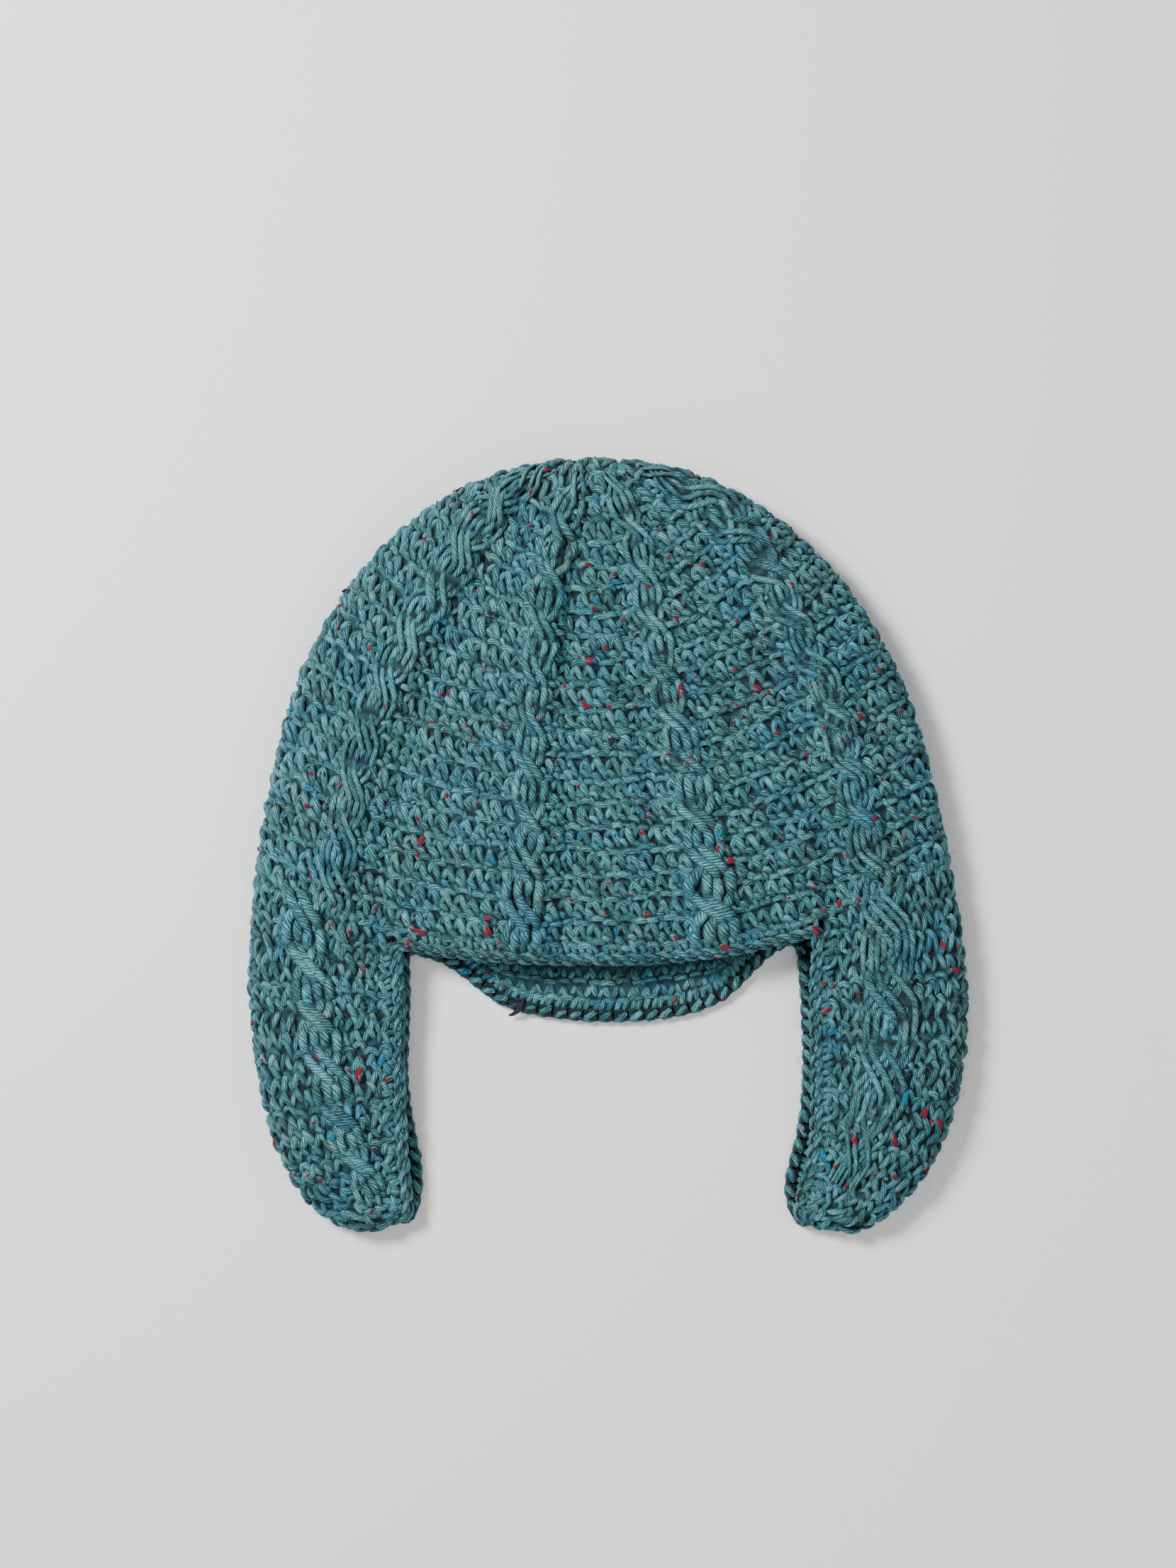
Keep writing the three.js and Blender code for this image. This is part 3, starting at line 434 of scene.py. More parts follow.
CROWN = Sheet(crown_point, (-0.3, 4.3), (0.004, 1.0), (1841, 320), -1)
LEFT = Sheet(partial(earflap_point, -1), (-1, 1), (-0.1, 1), (321, 240), -1)
RIGHT = Sheet(partial(earflap_point, 1), (-1, 1), (-0.1, 1), (321, 240), 1)
NECK_IN = Sheet(neck_point, (HEM_FROM, HEM_TO), (-1.2, 1), (300, 80), -1)
NECK_OUT = Sheet(neck_point, (HEM_FROM, HEM_TO), (-1.2, 1), (300, 80), 1)


# Meshes

def srgb(*levels):
    """Linear colour of a display colour given from 0 to 255."""
    shares = [level / 255 for level in levels]
    return (*(c / 12.92 if c <= 0.04045 else ((c + 0.055) / 1.055) ** 2.4 for c in shares), 1.0)


def add_object(name, data):
    thing = bpy.data.objects.new(name, data)
    bpy.context.scene.collection.objects.link(thing)
    return thing


def add_piece(name, points, quads, uv, bake_uv, material, replaced=(), values=None):
    """Makes an object of quads from points in mm, with its two UV maps and point values."""
    mesh = bpy.data.meshes.new(name)
    points = points.reshape(-1, 3).copy()
    points[:, 2] = np.maximum(points[:, 2], 0)
    mesh.from_pydata(points * MM, [], quads.reshape(-1, 4))
    for layer_name, coordinates in (("Strand", uv), ("OFBake", bake_uv)):
        layer = mesh.uv_layers.new(name=layer_name)
        layer.data.foreach_set("uv", np.ascontiguousarray(coordinates, dtype=np.float32).ravel())
    for key, numbers in (values or {}).items():
        field = mesh.attributes.new(key, "FLOAT", "POINT")
        field.data.foreach_set("value", np.ascontiguousarray(numbers, dtype=np.float32).ravel())
    mesh.shade_smooth()
    mesh.materials.append(material)
    piece = add_object(name, mesh)
    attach(piece, "root")
    if replaced:
        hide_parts(*replaced)


class Strands:
    """Gathers stretches of yarn that all have the same number of rings and sides."""

    def __init__(self, mesh_size):
        self.steps, self.sides = mesh_size
        self.parts = []

    def add(self, path, normal, width, thick):
        """Yarn that lies on the floor is pressed into the cloth and spreads."""
        shape = path.shape[:2]
        normal = np.broadcast_to(normal, path.shape)
        pressed = smooth((-normal[..., 2] - PRESS_FROM) / PRESS_OVER)
        path = path - normal * FLOOR_PRESS * pressed[..., None]
        width = np.broadcast_to(width * (1 + FLOOR_SPREAD * pressed), shape)
        self.parts.append((path, normal, width, np.broadcast_to(thick, shape)))

    def build(self, name, material, replaced=(), taper=0.7, host=True, ragged=0.0, head=0.0):
        """Makes one piece of all the yarn. head makes the first end of a strand the thicker one."""
        paths, normals, widths, thicks = (np.concatenate(part) for part in zip(*self.parts))
        if host:
            hosts.append((paths, normals, widths, thicks))
        count, steps, sides = shape = (len(paths), self.steps, self.sides)
        ahead = unit(np.gradient(paths, axis=1))
        side = unit(np.cross(normals, ahead))
        up = np.cross(ahead, side)
        t = np.linspace(0, 1, steps)
        ends = (taper + (1 - taper) * np.sin(math.pi * t) ** 0.5) * (1 + head * (0.5 - t))
        angle = 2 * math.pi * np.arange(sides) / sides
        wide = side[:, :, None] * (np.cos(angle) / 2)[:, None] * (widths * ends)[:, :, None, None]
        high = up[:, :, None] * (np.sin(angle) / 2)[:, None] * (thicks * ends)[:, :, None, None]
        points = paths[:, :, None] + (wide + high) * rng.normal(1, ragged, (*shape, 1))
        points[..., 2] = np.maximum(points[..., 2], rng.uniform(0, FLOOR_PLAY, (count, 1, 1)))
        index = np.arange(count * steps * sides).reshape(shape)
        turned = np.roll(index, -1, axis=2)
        quads = np.stack([index[:, :-1], turned[:, :-1], turned[:, 1:], index[:, 1:]], -1)
        step_length = np.linalg.norm(np.diff(paths, axis=1), axis=-1)
        run = np.concatenate([np.zeros((count, 1)), np.cumsum(step_length, 1)], 1)
        run = run + rng.uniform(0, YARN_STRETCH, (count, 1))
        values = {
            "shade": np.broadcast_to(rng.uniform(0, 1, (count, 1, 1)), shape),
            # tuck and top steer the painted shade toward the ends of each strand and onto its flanks and
            # underside.
            "tuck": np.broadcast_to(np.sin(math.pi * t)[None, :, None], shape),
            "top": np.broadcast_to(0.5 + 0.5 * np.sin(angle), shape),
        }
        add_piece(name, points, quads, *strand_maps(shape, t, run), material, replaced, values)


def strand_maps(shape, t, run):
    """UVs round and along the yarn, and a grid of small tiles to bake into."""
    count, steps, sides = shape
    around = np.arange(sides + 1) / sides
    uv = np.empty((count, steps - 1, sides, 4, 2))
    bake = np.empty_like(uv)
    cells = math.ceil(math.sqrt(count))
    column = (np.arange(count) % cells)[:, None, None]
    line = (np.arange(count) // cells)[:, None, None]
    for k, (down, right) in enumerate(((0, 0), (0, 1), (1, 1), (1, 0))):
        u = around[right:right + sides][None, None, :]
        v = t[down:down + steps - 1][None, :, None]
        uv[..., k, 0] = u
        uv[..., k, 1] = run[:, down:down + steps - 1][:, :, None]
        bake[..., k, 0] = (column + TILE_EDGE + (1 - 2 * TILE_EDGE) * u) / cells
        bake[..., k, 1] = (line + TILE_EDGE + (1 - 2 * TILE_EDGE) * v) / cells
    return uv, bake


def wall(name, sheet, u_ends, v_ends, counts, replaced, ring=False):
    """A wall of cloth with an outer and an inner face, closed along its free edges."""
    u, v = (np.linspace(*ends, count) for ends, count in zip((u_ends, v_ends), counts))
    points = np.stack([sheet.read(u[:, None], v, height)[0] for height in (OUT, INSIDE)])
    outer, inner = np.arange(2 * len(u) * len(v)).reshape(2, len(u), len(v))
    steps = [np.linalg.norm(np.diff(points[0], axis=k), axis=-1).mean(1 - k) for k in (0, 1)]
    run_u, run_v = sums(steps[0]), sums(steps[1])
    quads, uv, bake = [], [], []

    def strip(corners, from_u, to_u, from_v, to_v, tile=0):
        quads.append(np.stack(corners, -1).reshape(-1, 4))
        pairs = ((from_u, from_v), (from_u, to_v), (to_u, to_v), (to_u, from_v))
        places = np.stack([np.stack(np.broadcast_arrays(*pair), -1) for pair in pairs], -2)
        uv.append(places.reshape(-1, 4, 2))
        scaled = places / np.array([run_u[-1] * 2 * WALL_TILE, run_v[-1] * WALL_TILE])
        bake.append((scaled + np.array([0.5 * tile + WALL_TILE_EDGE, WALL_TILE_EDGE])).reshape(-1, 4, 2))

    def squares(grid):
        return grid[:-1, :-1], grid[:-1, 1:], grid[1:, 1:], grid[1:, :-1]

    u_sides, v_sides = (run_u[:-1], run_u[1:]), (run_v[:-1], run_v[1:])
    from_u, to_u = u_sides[0][:, None], u_sides[1][:, None]
    strip(squares(outer), from_u, to_u, *v_sides)
    strip(squares(inner)[::-1], to_u, from_u, *v_sides, tile=1)
    hem = (outer[:-1, -1], inner[:-1, -1], inner[1:, -1], outer[1:, -1])
    strip(hem, *u_sides, run_v[-1] - RIM, run_v[-1])
    strip((inner[:-1, 0], outer[:-1, 0], outer[1:, 0], inner[1:, 0]), *u_sides, 0, RIM)
    if not ring:
        strip((inner[0, :-1], inner[0, 1:], outer[0, 1:], outer[0, :-1]), 0, RIM, *v_sides)
        last = (outer[-1, :-1], outer[-1, 1:], inner[-1, 1:], inner[-1, :-1])
        strip(last, run_u[-1] - RIM, run_u[-1], *v_sides)
    add_piece(name, points, *(np.concatenate(part) for part in (quads, uv, bake)), cloth, (replaced,))


# Patterns: each point of a strand is its place across and down the cell and its height in mm
# over the face of the cloth.

def strand(width, *points):
    return {"width": width, "points": points}


ROUND_STITCH = (
    strand(3.3, (0.34, -0.04, -1.4), (0.46, 0.08, 0.3), (0.68, 0.32, 0.3), (0.90, 0.66, -1.8)),
    strand(2.8, (0.40, 0.00, -1.6), (0.20, 0.08, 0.1), (0.06, 0.22, 0.0), (0.02, 0.42, -1.8)),
    strand(2.9, (-0.16, 0.40, -1.5), (0.06, 0.46, 0.0), (0.32, 0.56, 0.0), (0.54, 0.74, -1.8)),
    strand(2.9, (0.20, 0.84, -1.6), (0.44, 0.78, 0.0), (0.90, 0.80, 0.1), (1.18, 0.94, -1.8)),
    strand(2.5, (-0.06, 0.62, -1.6), (0.02, 0.72, -0.3), (0.14, 0.84, -0.3), (0.26, 0.98, -1.8)),
)
FACE_STITCH = (
    strand(3.0, (0.06, -0.06, -1.7), (0.26, 0.08, 0.2), (0.48, 0.28, 0.3), (0.66, 0.50, -1.8)),
    strand(2.5, (1.04, -0.04, -1.7), (0.94, 0.10, 0.0), (0.84, 0.26, 0.0), (0.72, 0.46, -1.8)),
    strand(2.9, (0.72, 0.44, -1.7), (0.56, 0.56, 0.3), (0.32, 0.74, 0.3), (0.06, 0.92, -1.8)),
    strand(2.5, (0.70, 0.50, -1.7), (0.82, 0.64, 0.0), (0.92, 0.80, 0.0), (1.02, 1.00, -1.8)),
)
REVERSE_STITCH = (
    strand(2.8, (-0.18, 0.34, -1.7), (0.10, 0.10, 0.1), (0.58, 0.02, 0.3), (1.00, 0.26, -1.6)),
    strand(2.7, (0.42, 0.22, -1.7), (0.32, 0.36, 0.1), (0.16, 0.50, 0.1), (0.00, 0.66, -1.8)),
    strand(2.9, (0.50, 0.26, -1.7), (0.64, 0.40, 0.3), (0.78, 0.56, 0.2), (0.92, 0.74, -1.8)),
    strand(2.8, (-0.08, 1.00, -1.7), (0.12, 0.82, 0.2), (0.44, 0.66, 0.3), (0.74, 0.62, -1.7)),
)
INSIDE_STITCH = (
    strand(3.0, (0.20, -0.06, -1.8), (0.16, 0.14, 0.0), (0.28, 0.34, 0.0), (0.46, 0.58, -1.9)),
    strand(2.9, (0.92, -0.06, -1.8), (0.96, 0.14, 0.1), (0.80, 0.34, 0.0), (0.58, 0.58, -1.9)),
    strand(2.8, (-0.14, 0.78, -1.8), (0.14, 0.66, 0.0), (0.60, 0.66, 0.1), (0.98, 0.86, -1.8)),
)


def rope_crossing(count):
    """The left strands sweep over to the right, and the right ones pass beneath them."""
    pattern = []
    for i in range(count):
        a = -1 + (2 * i + 1) / (2 * count)
        b = a + 1
        mid = (a + b) / 2
        lag = ROPE_LAG * (count - 1 - i)
        over = ((a, -0.12 + lag, -0.6), (a + 0.10, 0.06 + lag, 1.2), (mid, 0.27 + lag, 2.0),
                (b - 0.10, 0.47 + lag, 1.5), (b, 0.64 + lag, -0.4))
        under = ((b, -0.10, -0.4), (b - 0.08, 0.10, 1.0), (mid, 0.32, 0.4), (a + 0.1, 0.52, 0.8),
                 (a, 0.68, -0.4))
        low_right = ((b - 0.06, 0.50 + lag, -0.6), (b + 0.02, 0.64 + lag, 1.3), (b, 0.82, 1.4),
                     (b - 0.04, 1.00, -0.6))
        low_left = ((a + 0.08, 0.54, -0.6), (a, 0.68, 1.2), (a - 0.02, 0.84, 1.4), (a, 1.02 + lag, -0.6))
        for points in (over, under, low_right, low_left):
            pattern.append(strand(CABLE_FILL / count, *points))
    return pattern


def curve(line, t):
    """Places across and down a cell, and heights, along one strand of a pattern."""
    table = {"t": np.linspace(0, 1, len(line["points"]))}
    names = ("across", "down", "high")
    table.update(zip(names, np.array(line["points"]).T))
    return [read(table, "t", name, t)[None, :] for name in names]


# Stitches

def wander(u, v):
    """Rows of hand work wander a little up and down."""
    wave = np.sin(5.3 * u + 31 * v + 0.7) + np.sin(11.9 * u - 57 * v + 2.1) + np.sin(23.1 * u + 83 * v)
    return wave / 3


def add_stitches(strands, sheet, cells, pattern, loose=0.045, sway=0.005):
    """Lays every strand of a pattern in every cell. Cells hold u0, u1, v0 and v1."""
    count = len(cells)
    t = np.linspace(0, 1, strands.steps)
    arch = np.sin(math.pi * t)[None, :]
    shared = rng.normal(0, loose, (2, count, 1))
    shear = rng.normal(0, 2 * loose, (count, 1))
    for line in pattern:
        across, down, high = curve(line, t)
        shake = rng.normal(0, loose, (4, count, 1))
        across = across + shared[0] + shake[0] + shake[1] * arch + shear * (down - 0.5)
        down = down + shared[1] + shake[2] + shake[3] * arch
        u = cells[:, 0:1] + (cells[:, 1:2] - cells[:, 0:1]) * across
        v = cells[:, 2:3] + (cells[:, 3:4] - cells[:, 2:3]) * down
        v = v + sway * wander(u, v)
        height = WALL / 2 - STRAND_SINK + high + rng.normal(0, STRAND_LIFT, (count, 1)) * arch
        path, normal = sheet.read(u, v, height)
        width = line["width"] * (1 + rng.normal(0, WIDTH_PLAY, (count, 1)))
        strands.add(path, normal, width, width * PLUMP)


def even_cells(sheet, u_from, u_to, v_from, v_to, size):
    """Cells of about the same width between two places of one row."""
    u = np.linspace(u_from, u_to, ROW_STEPS)
    path, _ = sheet.read(u, (v_from + v_to) / 2, WALL / 2)
    run = run_along(path)
    count = max(1, round(run[-1] / size))
    stops = np.interp(np.linspace(0, run[-1], count + 1), run, u)
    return [(stops[i], stops[i + 1], v_from, v_to) for i in range(count)]


def mm_across(sheet, u, v):
    """The mm of cloth in one unit across a sheet."""
    ahead, _ = sheet.read(u + PROBE, v)
    behind, _ = sheet.read(u - PROBE, v)
    return np.linalg.norm(ahead - behind, axis=-1) / (2 * PROBE)


def cable_turn(k, front):
    return CABLE_COLUMNS[k] + 1 if front else 3 - CABLE_COLUMNS[k]


def cable_half(k, front, row):
    """Half width of a crown cable, in columns."""
    table = FRONT_CABLES[k] if front else BACK_CABLE
    most = MOST_CABLE_COLUMNS if front else MOST_BACK_COLUMNS
    wide = mm_across(CROWN, cable_turn(k, front), row)
    return np.minimum(CABLE_SLIM * read(table, "row", "half", row) / wide, most)


def crown_cells():
    """Stitches of the crown on its front and on its back, between the cables."""
    rows = np.linspace(FIRST_ROUND_ROW, LAST_ROW, ROUNDS + 1)
    front, back = [], []
    for top, low in zip(rows[:-1], rows[1:]):
        middle = (top + low) / 2
        for cable, following in zip(ROUND_CABLES, ROUND_CABLES[1:] + ROUND_CABLES[:1]):
            turn, next_turn = cable_turn(*cable), cable_turn(*following)
            next_turn += 4 if next_turn < turn else 0
            start = turn + cable_half(*cable, middle) * UNDER_CABLE
            end = next_turn - cable_half(*following, middle) * UNDER_CABLE
            for cell in even_cells(CROWN, start, end, top, low, STITCH):
                centre = (cell[0] + cell[1]) / 2 % 4
                (front if centre < 2 else back).append(cell)
    for group in (front, back):
        group = np.array(group)
        group[group[:, 0] > 4, :2] -= 4
        yield group


def crown_stitches(word, cells, mesh_size, pattern):
    """One side of the crown, in two pieces by their turns."""
    order = np.argsort(cells[:, 0], kind="stable")
    for half, part in zip("ab", np.array_split(order, 2)):
        strands = Strands(mesh_size)
        add_stitches(strands, CROWN, cells[part], pattern)
        strands.build(f"crown_stitches_{word}_{half}", yarn, head=STITCH_HEAD)


def flap_stitches(sheet, word, ends):
    """Rows that show their face and their back by turns. The first row starts on the crown."""
    strands = Strands(FRONT_MESH)
    rows = np.linspace(FIRST_FLAP_ROW, 1.0, FLAP_ROWS + 1)
    for number, (top, low) in enumerate(zip(rows[:-1], rows[1:])):
        cells = np.array(even_cells(sheet, *ends, top - FLAP_LAP, low + FLAP_LAP, FLAP_STITCH))
        pattern = REVERSE_STITCH if number % 2 else FACE_STITCH
        add_stitches(strands, sheet, cells, pattern, loose=0.06, sway=0.008)
    strands.build(f"earflap_{word}_stitches", yarn, head=STITCH_HEAD)


def neck_stitches(sheet, word, ends, rows):
    strands = Strands(FRONT_MESH)
    for top, low in zip(rows[:-1], rows[1:]):
        cells = np.array(even_cells(sheet, *ends, top, low, NECK_STITCH))
        add_stitches(strands, sheet, cells, INSIDE_STITCH, sway=0.0)
    strands.build(f"neck_{word}_stitches", yarn)


# Cables

class Cable:
    """A rope down a sheet. centre and half give its place and half width by v."""

    def __init__(self, name, sheet, centre, half):
        self.name = name
        self.sheet = sheet
        self.centre = centre
        self.half = half

    def half_mm(self, v):
        ahead, _ = self.sheet.read(self.centre(v) + self.half(v) / 2, v)
        behind, _ = self.sheet.read(self.centre(v) - self.half(v) / 2, v)
        return np.linalg.norm(ahead - behind, axis=-1)

    def lay(self, strands, ends, pattern, flip, length):
        v = np.linspace(*ends, CABLE_STEPS)
        run = run_along(self.sheet.read(self.centre(v), v, WALL / 2)[0])
        count = max(2, round(run[-1] / length))
        period = run[-1] / count
        starts = np.arange(count)[:, None] * period
        t = np.linspace(0, 1, strands.steps)
        arch = np.sin(math.pi * t)[None, :]
        for line in pattern:
            across, down, high = curve(line, t)
            shake = rng.normal(0, CABLE_LOOSE, (4, count, 1))
            place = np.interp(starts + (down + shake[2]) * period, run, v)
            u = self.centre(place) + flip * (across + shake[0] + shake[1] * arch) * self.half(place)
            dive = CABLE_DIVE * (1 - smooth((ends[1] - place) / CABLE_DIVE_SPAN))
            points, normal = self.sheet.read(u, place, WALL / 2 + high - dive)
            width = line["width"] * self.half_mm(place) * (1 + shake[3])
            strands.add(points, normal, width, width * CABLE_PLUMP)

    def core(self, ends):
        """A flat band of cloth under the strands, coloured with the cloth's painted shade."""
        v = np.linspace(*ends, CORE_MESH[0])[None, :]
        path, normal = self.sheet.read(self.centre(v), v, WALL / 2 - STRAND_SINK)
        core = Strands(CORE_MESH)
        core.add(path, normal, 2 * self.half_mm(v), CORE_THICK)
        core.build(self.name + "_core", cloth, taper=0.06, host=False)

    def build(self, mesh_size, ends, core_end, strand_count, flip=1, length=CABLE_PERIOD):
        strands = Strands(mesh_size)
        self.lay(strands, ends, rope_crossing(strand_count), flip, length)
        self.core((ends[0], core_end))
        strands.build(self.name + "_yarn", cable_yarn, (self.name,))


def crown_cable(k, front):
    word = "front" if front else "back"
    turn = cable_turn(k, front)
    cable = Cable(f"cable_{word}_{k + 1}", CROWN, lambda v: np.full(np.shape(v), turn),
                  lambda v: cable_half(k, front, v))
    mesh_size = CABLE_MESH if front else FRONT_MESH
    start = CABLE_TOPS[k] if front else BACK_CABLE_TOP
    cable.build(mesh_size, (start, LAST_ROW), LAST_ROW - CABLE_DIVE_SPAN, CABLE_STRANDS[k])


def flap_cable(side, sheet, word, leaf):
    table = FLAP_CABLES[side]
    sign, scale = (1, 1) if leaf == "front" else (-1, BACK_LEAF_CABLE)

    def centre(v):
        return sign * read(table, "at", "place", v)

    def half(v):
        return read(table, "at", "half", v) * scale / mm_across(sheet, centre(v), v)

    cable = Cable(f"cable_{word}_flap_{leaf}", sheet, centre, half)
    ends = (FLAP_CABLE_START[leaf], FLAP_CABLE_END)
    cable.build(CABLE_MESH, ends, FLAP_CORE_END, table["strands"], -side * sign, table["period"])


# Edging

def edge_stop(surface, u, v, out_u, out_v, flip):
    """Middle of the wall at a free edge, the way out of the cloth and the way off its face."""
    step = FINE_SPAN
    here = surface(u, v)
    out = here - surface(u - out_u * step, v - out_v * step)
    along = unit(surface(u + out_v * step, v + out_u * step) - surface(u - out_v * step, v - out_u * step))
    out = square_to(along, out)
    du = surface(u + FINEST_SPAN, v) - surface(u - FINEST_SPAN, v)
    dv = surface(u, v + FINEST_SPAN) - surface(u, v - FINEST_SPAN)
    return here, out, unit(flip * np.cross(du, dv))


def flap_stops(side):
    """Stops down the front edge of an earflap, round its tip and up its back edge."""
    surface = partial(earflap_point, side)
    edge = np.linspace(FLAP_EDGE_FROM, FLAP_EDGE_TO, FLAP_STOPS + 1)
    one = np.ones_like(edge)
    front = edge_stop(surface, one, edge, 1, 0, side)
    tip_place = np.linspace(FLAP_TIP, -FLAP_TIP, TIP_STOPS + 1)
    tip = edge_stop(surface, tip_place, np.ones_like(tip_place), 0, 1, side)
    tip = (tip[0], tip[1] * TIP_REACH, tip[2])
    back = [part[::-1] for part in edge_stop(surface, -one, edge, -1, 0, side)]

    def corner(before, after, place):
        out, face = (unit(before[i][-1] + after[i][0])[None] for i in (1, 2))
        return surface([place], [1.0]), out * CORNER_REACH, face

    parts = (front, corner(front, tip, 1.0), tip, corner(tip, back, -1.0), back)
    return [np.concatenate(part) for part in zip(*parts)]


def edge_walk():
    """The closed middle line of the edging, the way off its face and its length so far."""
    column = np.linspace(HEM_FROM + HEM_CORNER, HEM_TO - HEM_CORNER, HEM_STOPS + 1)
    hem = edge_stop(crown_point, column + 1, np.full_like(column, LAST_ROW), 0, 1, -1)
    column = np.linspace(HEM_TO - NECK_CORNER, HEM_FROM + NECK_CORNER, NECK_STOPS + 1)
    ones = np.ones_like(column)
    along = neck_point(column + FINE_SPAN, ones) - neck_point(column - FINE_SPAN, ones)
    out = unit(np.stack([along[:, 1], -along[:, 0], 0 * ones], -1))
    neck = (neck_point(column, ones), out, np.broadcast_to([0.0, 0.0, -1.0], out.shape))
    left = [part[::-1] for part in flap_stops(-1)]
    here, out, face = [np.concatenate(parts) for parts in zip(hem, flap_stops(1), neck, left)]
    centre = here + out * (EDGE_GAP + EDGE_WIDTH / 2 - CHAIN_IN)
    centre[:, 2] = np.maximum(centre[:, 2], EDGE_THICK / 2)
    centre = centre / 2 + np.roll(centre, 1, 0) / 4 + np.roll(centre, -1, 0) / 4
    centre = np.concatenate([centre, centre[:1]])
    return centre, np.concatenate([face, face[:1]]), run_along(centre)


# Strands of a link: steps along the edge in links, turns in degrees from the seam, reach out.
CHAIN = (
    strand(2.7, (-0.05, 6, 0.35), (0.35, 4, 0.9), (0.85, -38, 1.0), (1.4, -84, 0.45)),
    strand(2.5, (-0.05, -6, 0.35), (0.35, 8, 0.9), (0.85, 40, 1.0), (1.4, 80, 0.45)),
    strand(3.2, (-0.1, 86, 0.5), (0.2, 126, 1.0), (0.7, 170, 1.0), (1.1, 206, 0.5)),
    strand(3.0, (-0.1, -74, 0.6), (0.2, -104, 1.0), (0.7, -144, 1.0), (1.1, -180, 0.5)),
)
# A leg that joins the chain to the cloth: steps along the edge, mm in from its middle, mm high.
CHAIN_LEG = strand(2.7, (-0.16, 6.2, -0.2), (-0.04, 5.0, 1.2), (0.1, 3.2, 1.2), (0.2, 1.4, 0.2))


def build_edging():
    """A chain of vees round every free edge: each link's legs open and tuck under the next."""
    inner, face, run = edge_walk()
    count = round(run[-1] / EDGE_PITCH)
    pitch = run[-1] / count
    starts = np.arange(count)[:, None]
    strands = Strands(FRONT_MESH)
    t = np.linspace(0, 1, strands.steps)

    def at(s, table):
        return np.stack([np.interp(s % run[-1], run, table[:, i]) for i in range(3)], -1)

    def frame_at(s):
        """Middle of the edging at a place along it, the way ahead and the way off its face."""
        ahead = unit(at(s + EDGE_PROBE, inner) - at(s - EDGE_PROBE, inner))
        return at(s, inner), ahead, square_to(ahead, at(s, face))

    for link in CHAIN:
        step, turn, reach = curve(link, t)
        middle, ahead, off = frame_at((starts + step + rng.normal(0, STEP_PLAY, (count, 1))) * pitch)
        side = np.cross(off, ahead)
        angle = SEAM_TURN + np.radians(turn) + rng.normal(0, TURN_PLAY, (count, 1))
        across = (np.sin(angle) * CHAIN_ACROSS * reach)[..., None]
        high = (np.cos(angle) * CHAIN_HIGH * reach)[..., None]
        out = unit(side * np.sin(angle)[..., None] + off * np.cos(angle)[..., None])
        width = link["width"] * (1 + rng.normal(0, LINK_PLAY, (count, 1)))
        strands.add(middle + side * across + off * high, out, width, width * CHAIN_PLUMP)
    for shift, facing in CHAIN_LEGS:
        step, reach, high = curve(CHAIN_LEG, t)
        s = (starts + shift + step + rng.normal(0, LEG_PLAY, (count, 1))) * pitch
        middle, ahead, off = frame_at(s)
        path = middle + np.cross(off, ahead) * reach[..., None] + off * facing * high[..., None]
        strands.add(path, off * facing, CHAIN_LEG["width"], CHAIN_LEG["width"] * LEG_PLUMP)
    strands.build("edging_chain", yarn, ("edging",))
    core = Strands(EDGE_CORE_MESH)
    s = (starts + np.linspace(-EDGE_CORE_LAP, 1 + EDGE_CORE_LAP, core.steps)[None, :]) * pitch
    core.add(at(s, inner), at(s, face), *EDGE_CORE)
    core.build("edging_core", yarn, taper=1.0, host=False)


# Materials

# Noise scales are for each metre, and bumps are in metres.
PLY_WOBBLE_SCALE, PLY_WOBBLE, PLY_DEPTH = 420, 0.8, 0.26
FIBRE_STRETCH, FIBRE_SHIFT, FIBRE_SCALE = 0.2, 60.0, 1.7
STRAND_TONE = 0.16
LOOSE_SCALE, CLOTH_SCALE = 1500, 900
CLOTH_ROW, CLOTH_RELIEF = 4.6, (0.3, 0.4)
YARN_BUMP, LOOSE_BUMP, CLOTH_BUMP = 0.0006, 0.0005, 0.0009
BLACK, WHITE = (0, 0, 0, 1), (1, 1, 1, 1)
TEAL_LIGHT = srgb(114, 183, 194)
# Yarn colours along its ply relief: the darkest is painted shade between the plies, the lightest painted
# light on their backs.
YARN_TONES_AND_PLY_SHADE = ((0.38, srgb(6, 26, 34)), (0.64, srgb(46, 98, 109)), (0.94, TEAL_LIGHT))
# Patches of another hue: noise scale, where a patch starts and is full, its strength and its tint.
DRIFTS = (
    (75, 0.46, 0.6, 0.75, (1.05, 0.85, 0.68, 1)),
    (52, 0.5, 0.64, 0.8, (0.6, 0.85, 1.0, 1)),
    (150, 0.58, 0.68, 0.5, (1.3, 0.8, 0.95, 1)),
)
# Tint of the painted shade where it is darkest.
PAINTED_SHADE_TINT = (1, 1.12, 1.2)
# Painted shade on the yarn, darker toward each end of a strand, where it dips into the cloth, and on its
# flanks and underside: a point value, its darkest, and where the dark starts to fade and ends.
PAINTED_SHADE_PARTS = (("tuck", 0.2, 0.05, 0.8), ("top", 0.08, 0.45, 0.95))


def new_material(name, roughness):
    material = bpy.data.materials.new(name)
    material.use_nodes = True
    shader = material.node_tree.nodes["Principled BSDF"]
    shader.inputs["Roughness"].default_value = roughness
    return material, material.node_tree, shader


def add_node(tree, kind, inputs=(), **settings):
    """Adds a node. Each input is a link from another node or a plain value."""
    node = tree.nodes.new(kind)
    for key, value in settings.items():
        setattr(node, key, value)
    for place, value in inputs:
        if isinstance(value, bpy.types.NodeSocket):
            tree.links.new(value, node.inputs[place])
        else:
            node.inputs[place].default_value = value
    return node


def maths(tree, operation, *values):
    return add_node(tree, "ShaderNodeMath", enumerate(values), operation=operation).outputs[0]


def times(tree, a, b):
    return maths(tree, "MULTIPLY", a, b)


def plus(tree, a, b):
    return maths(tree, "ADD", a, b)


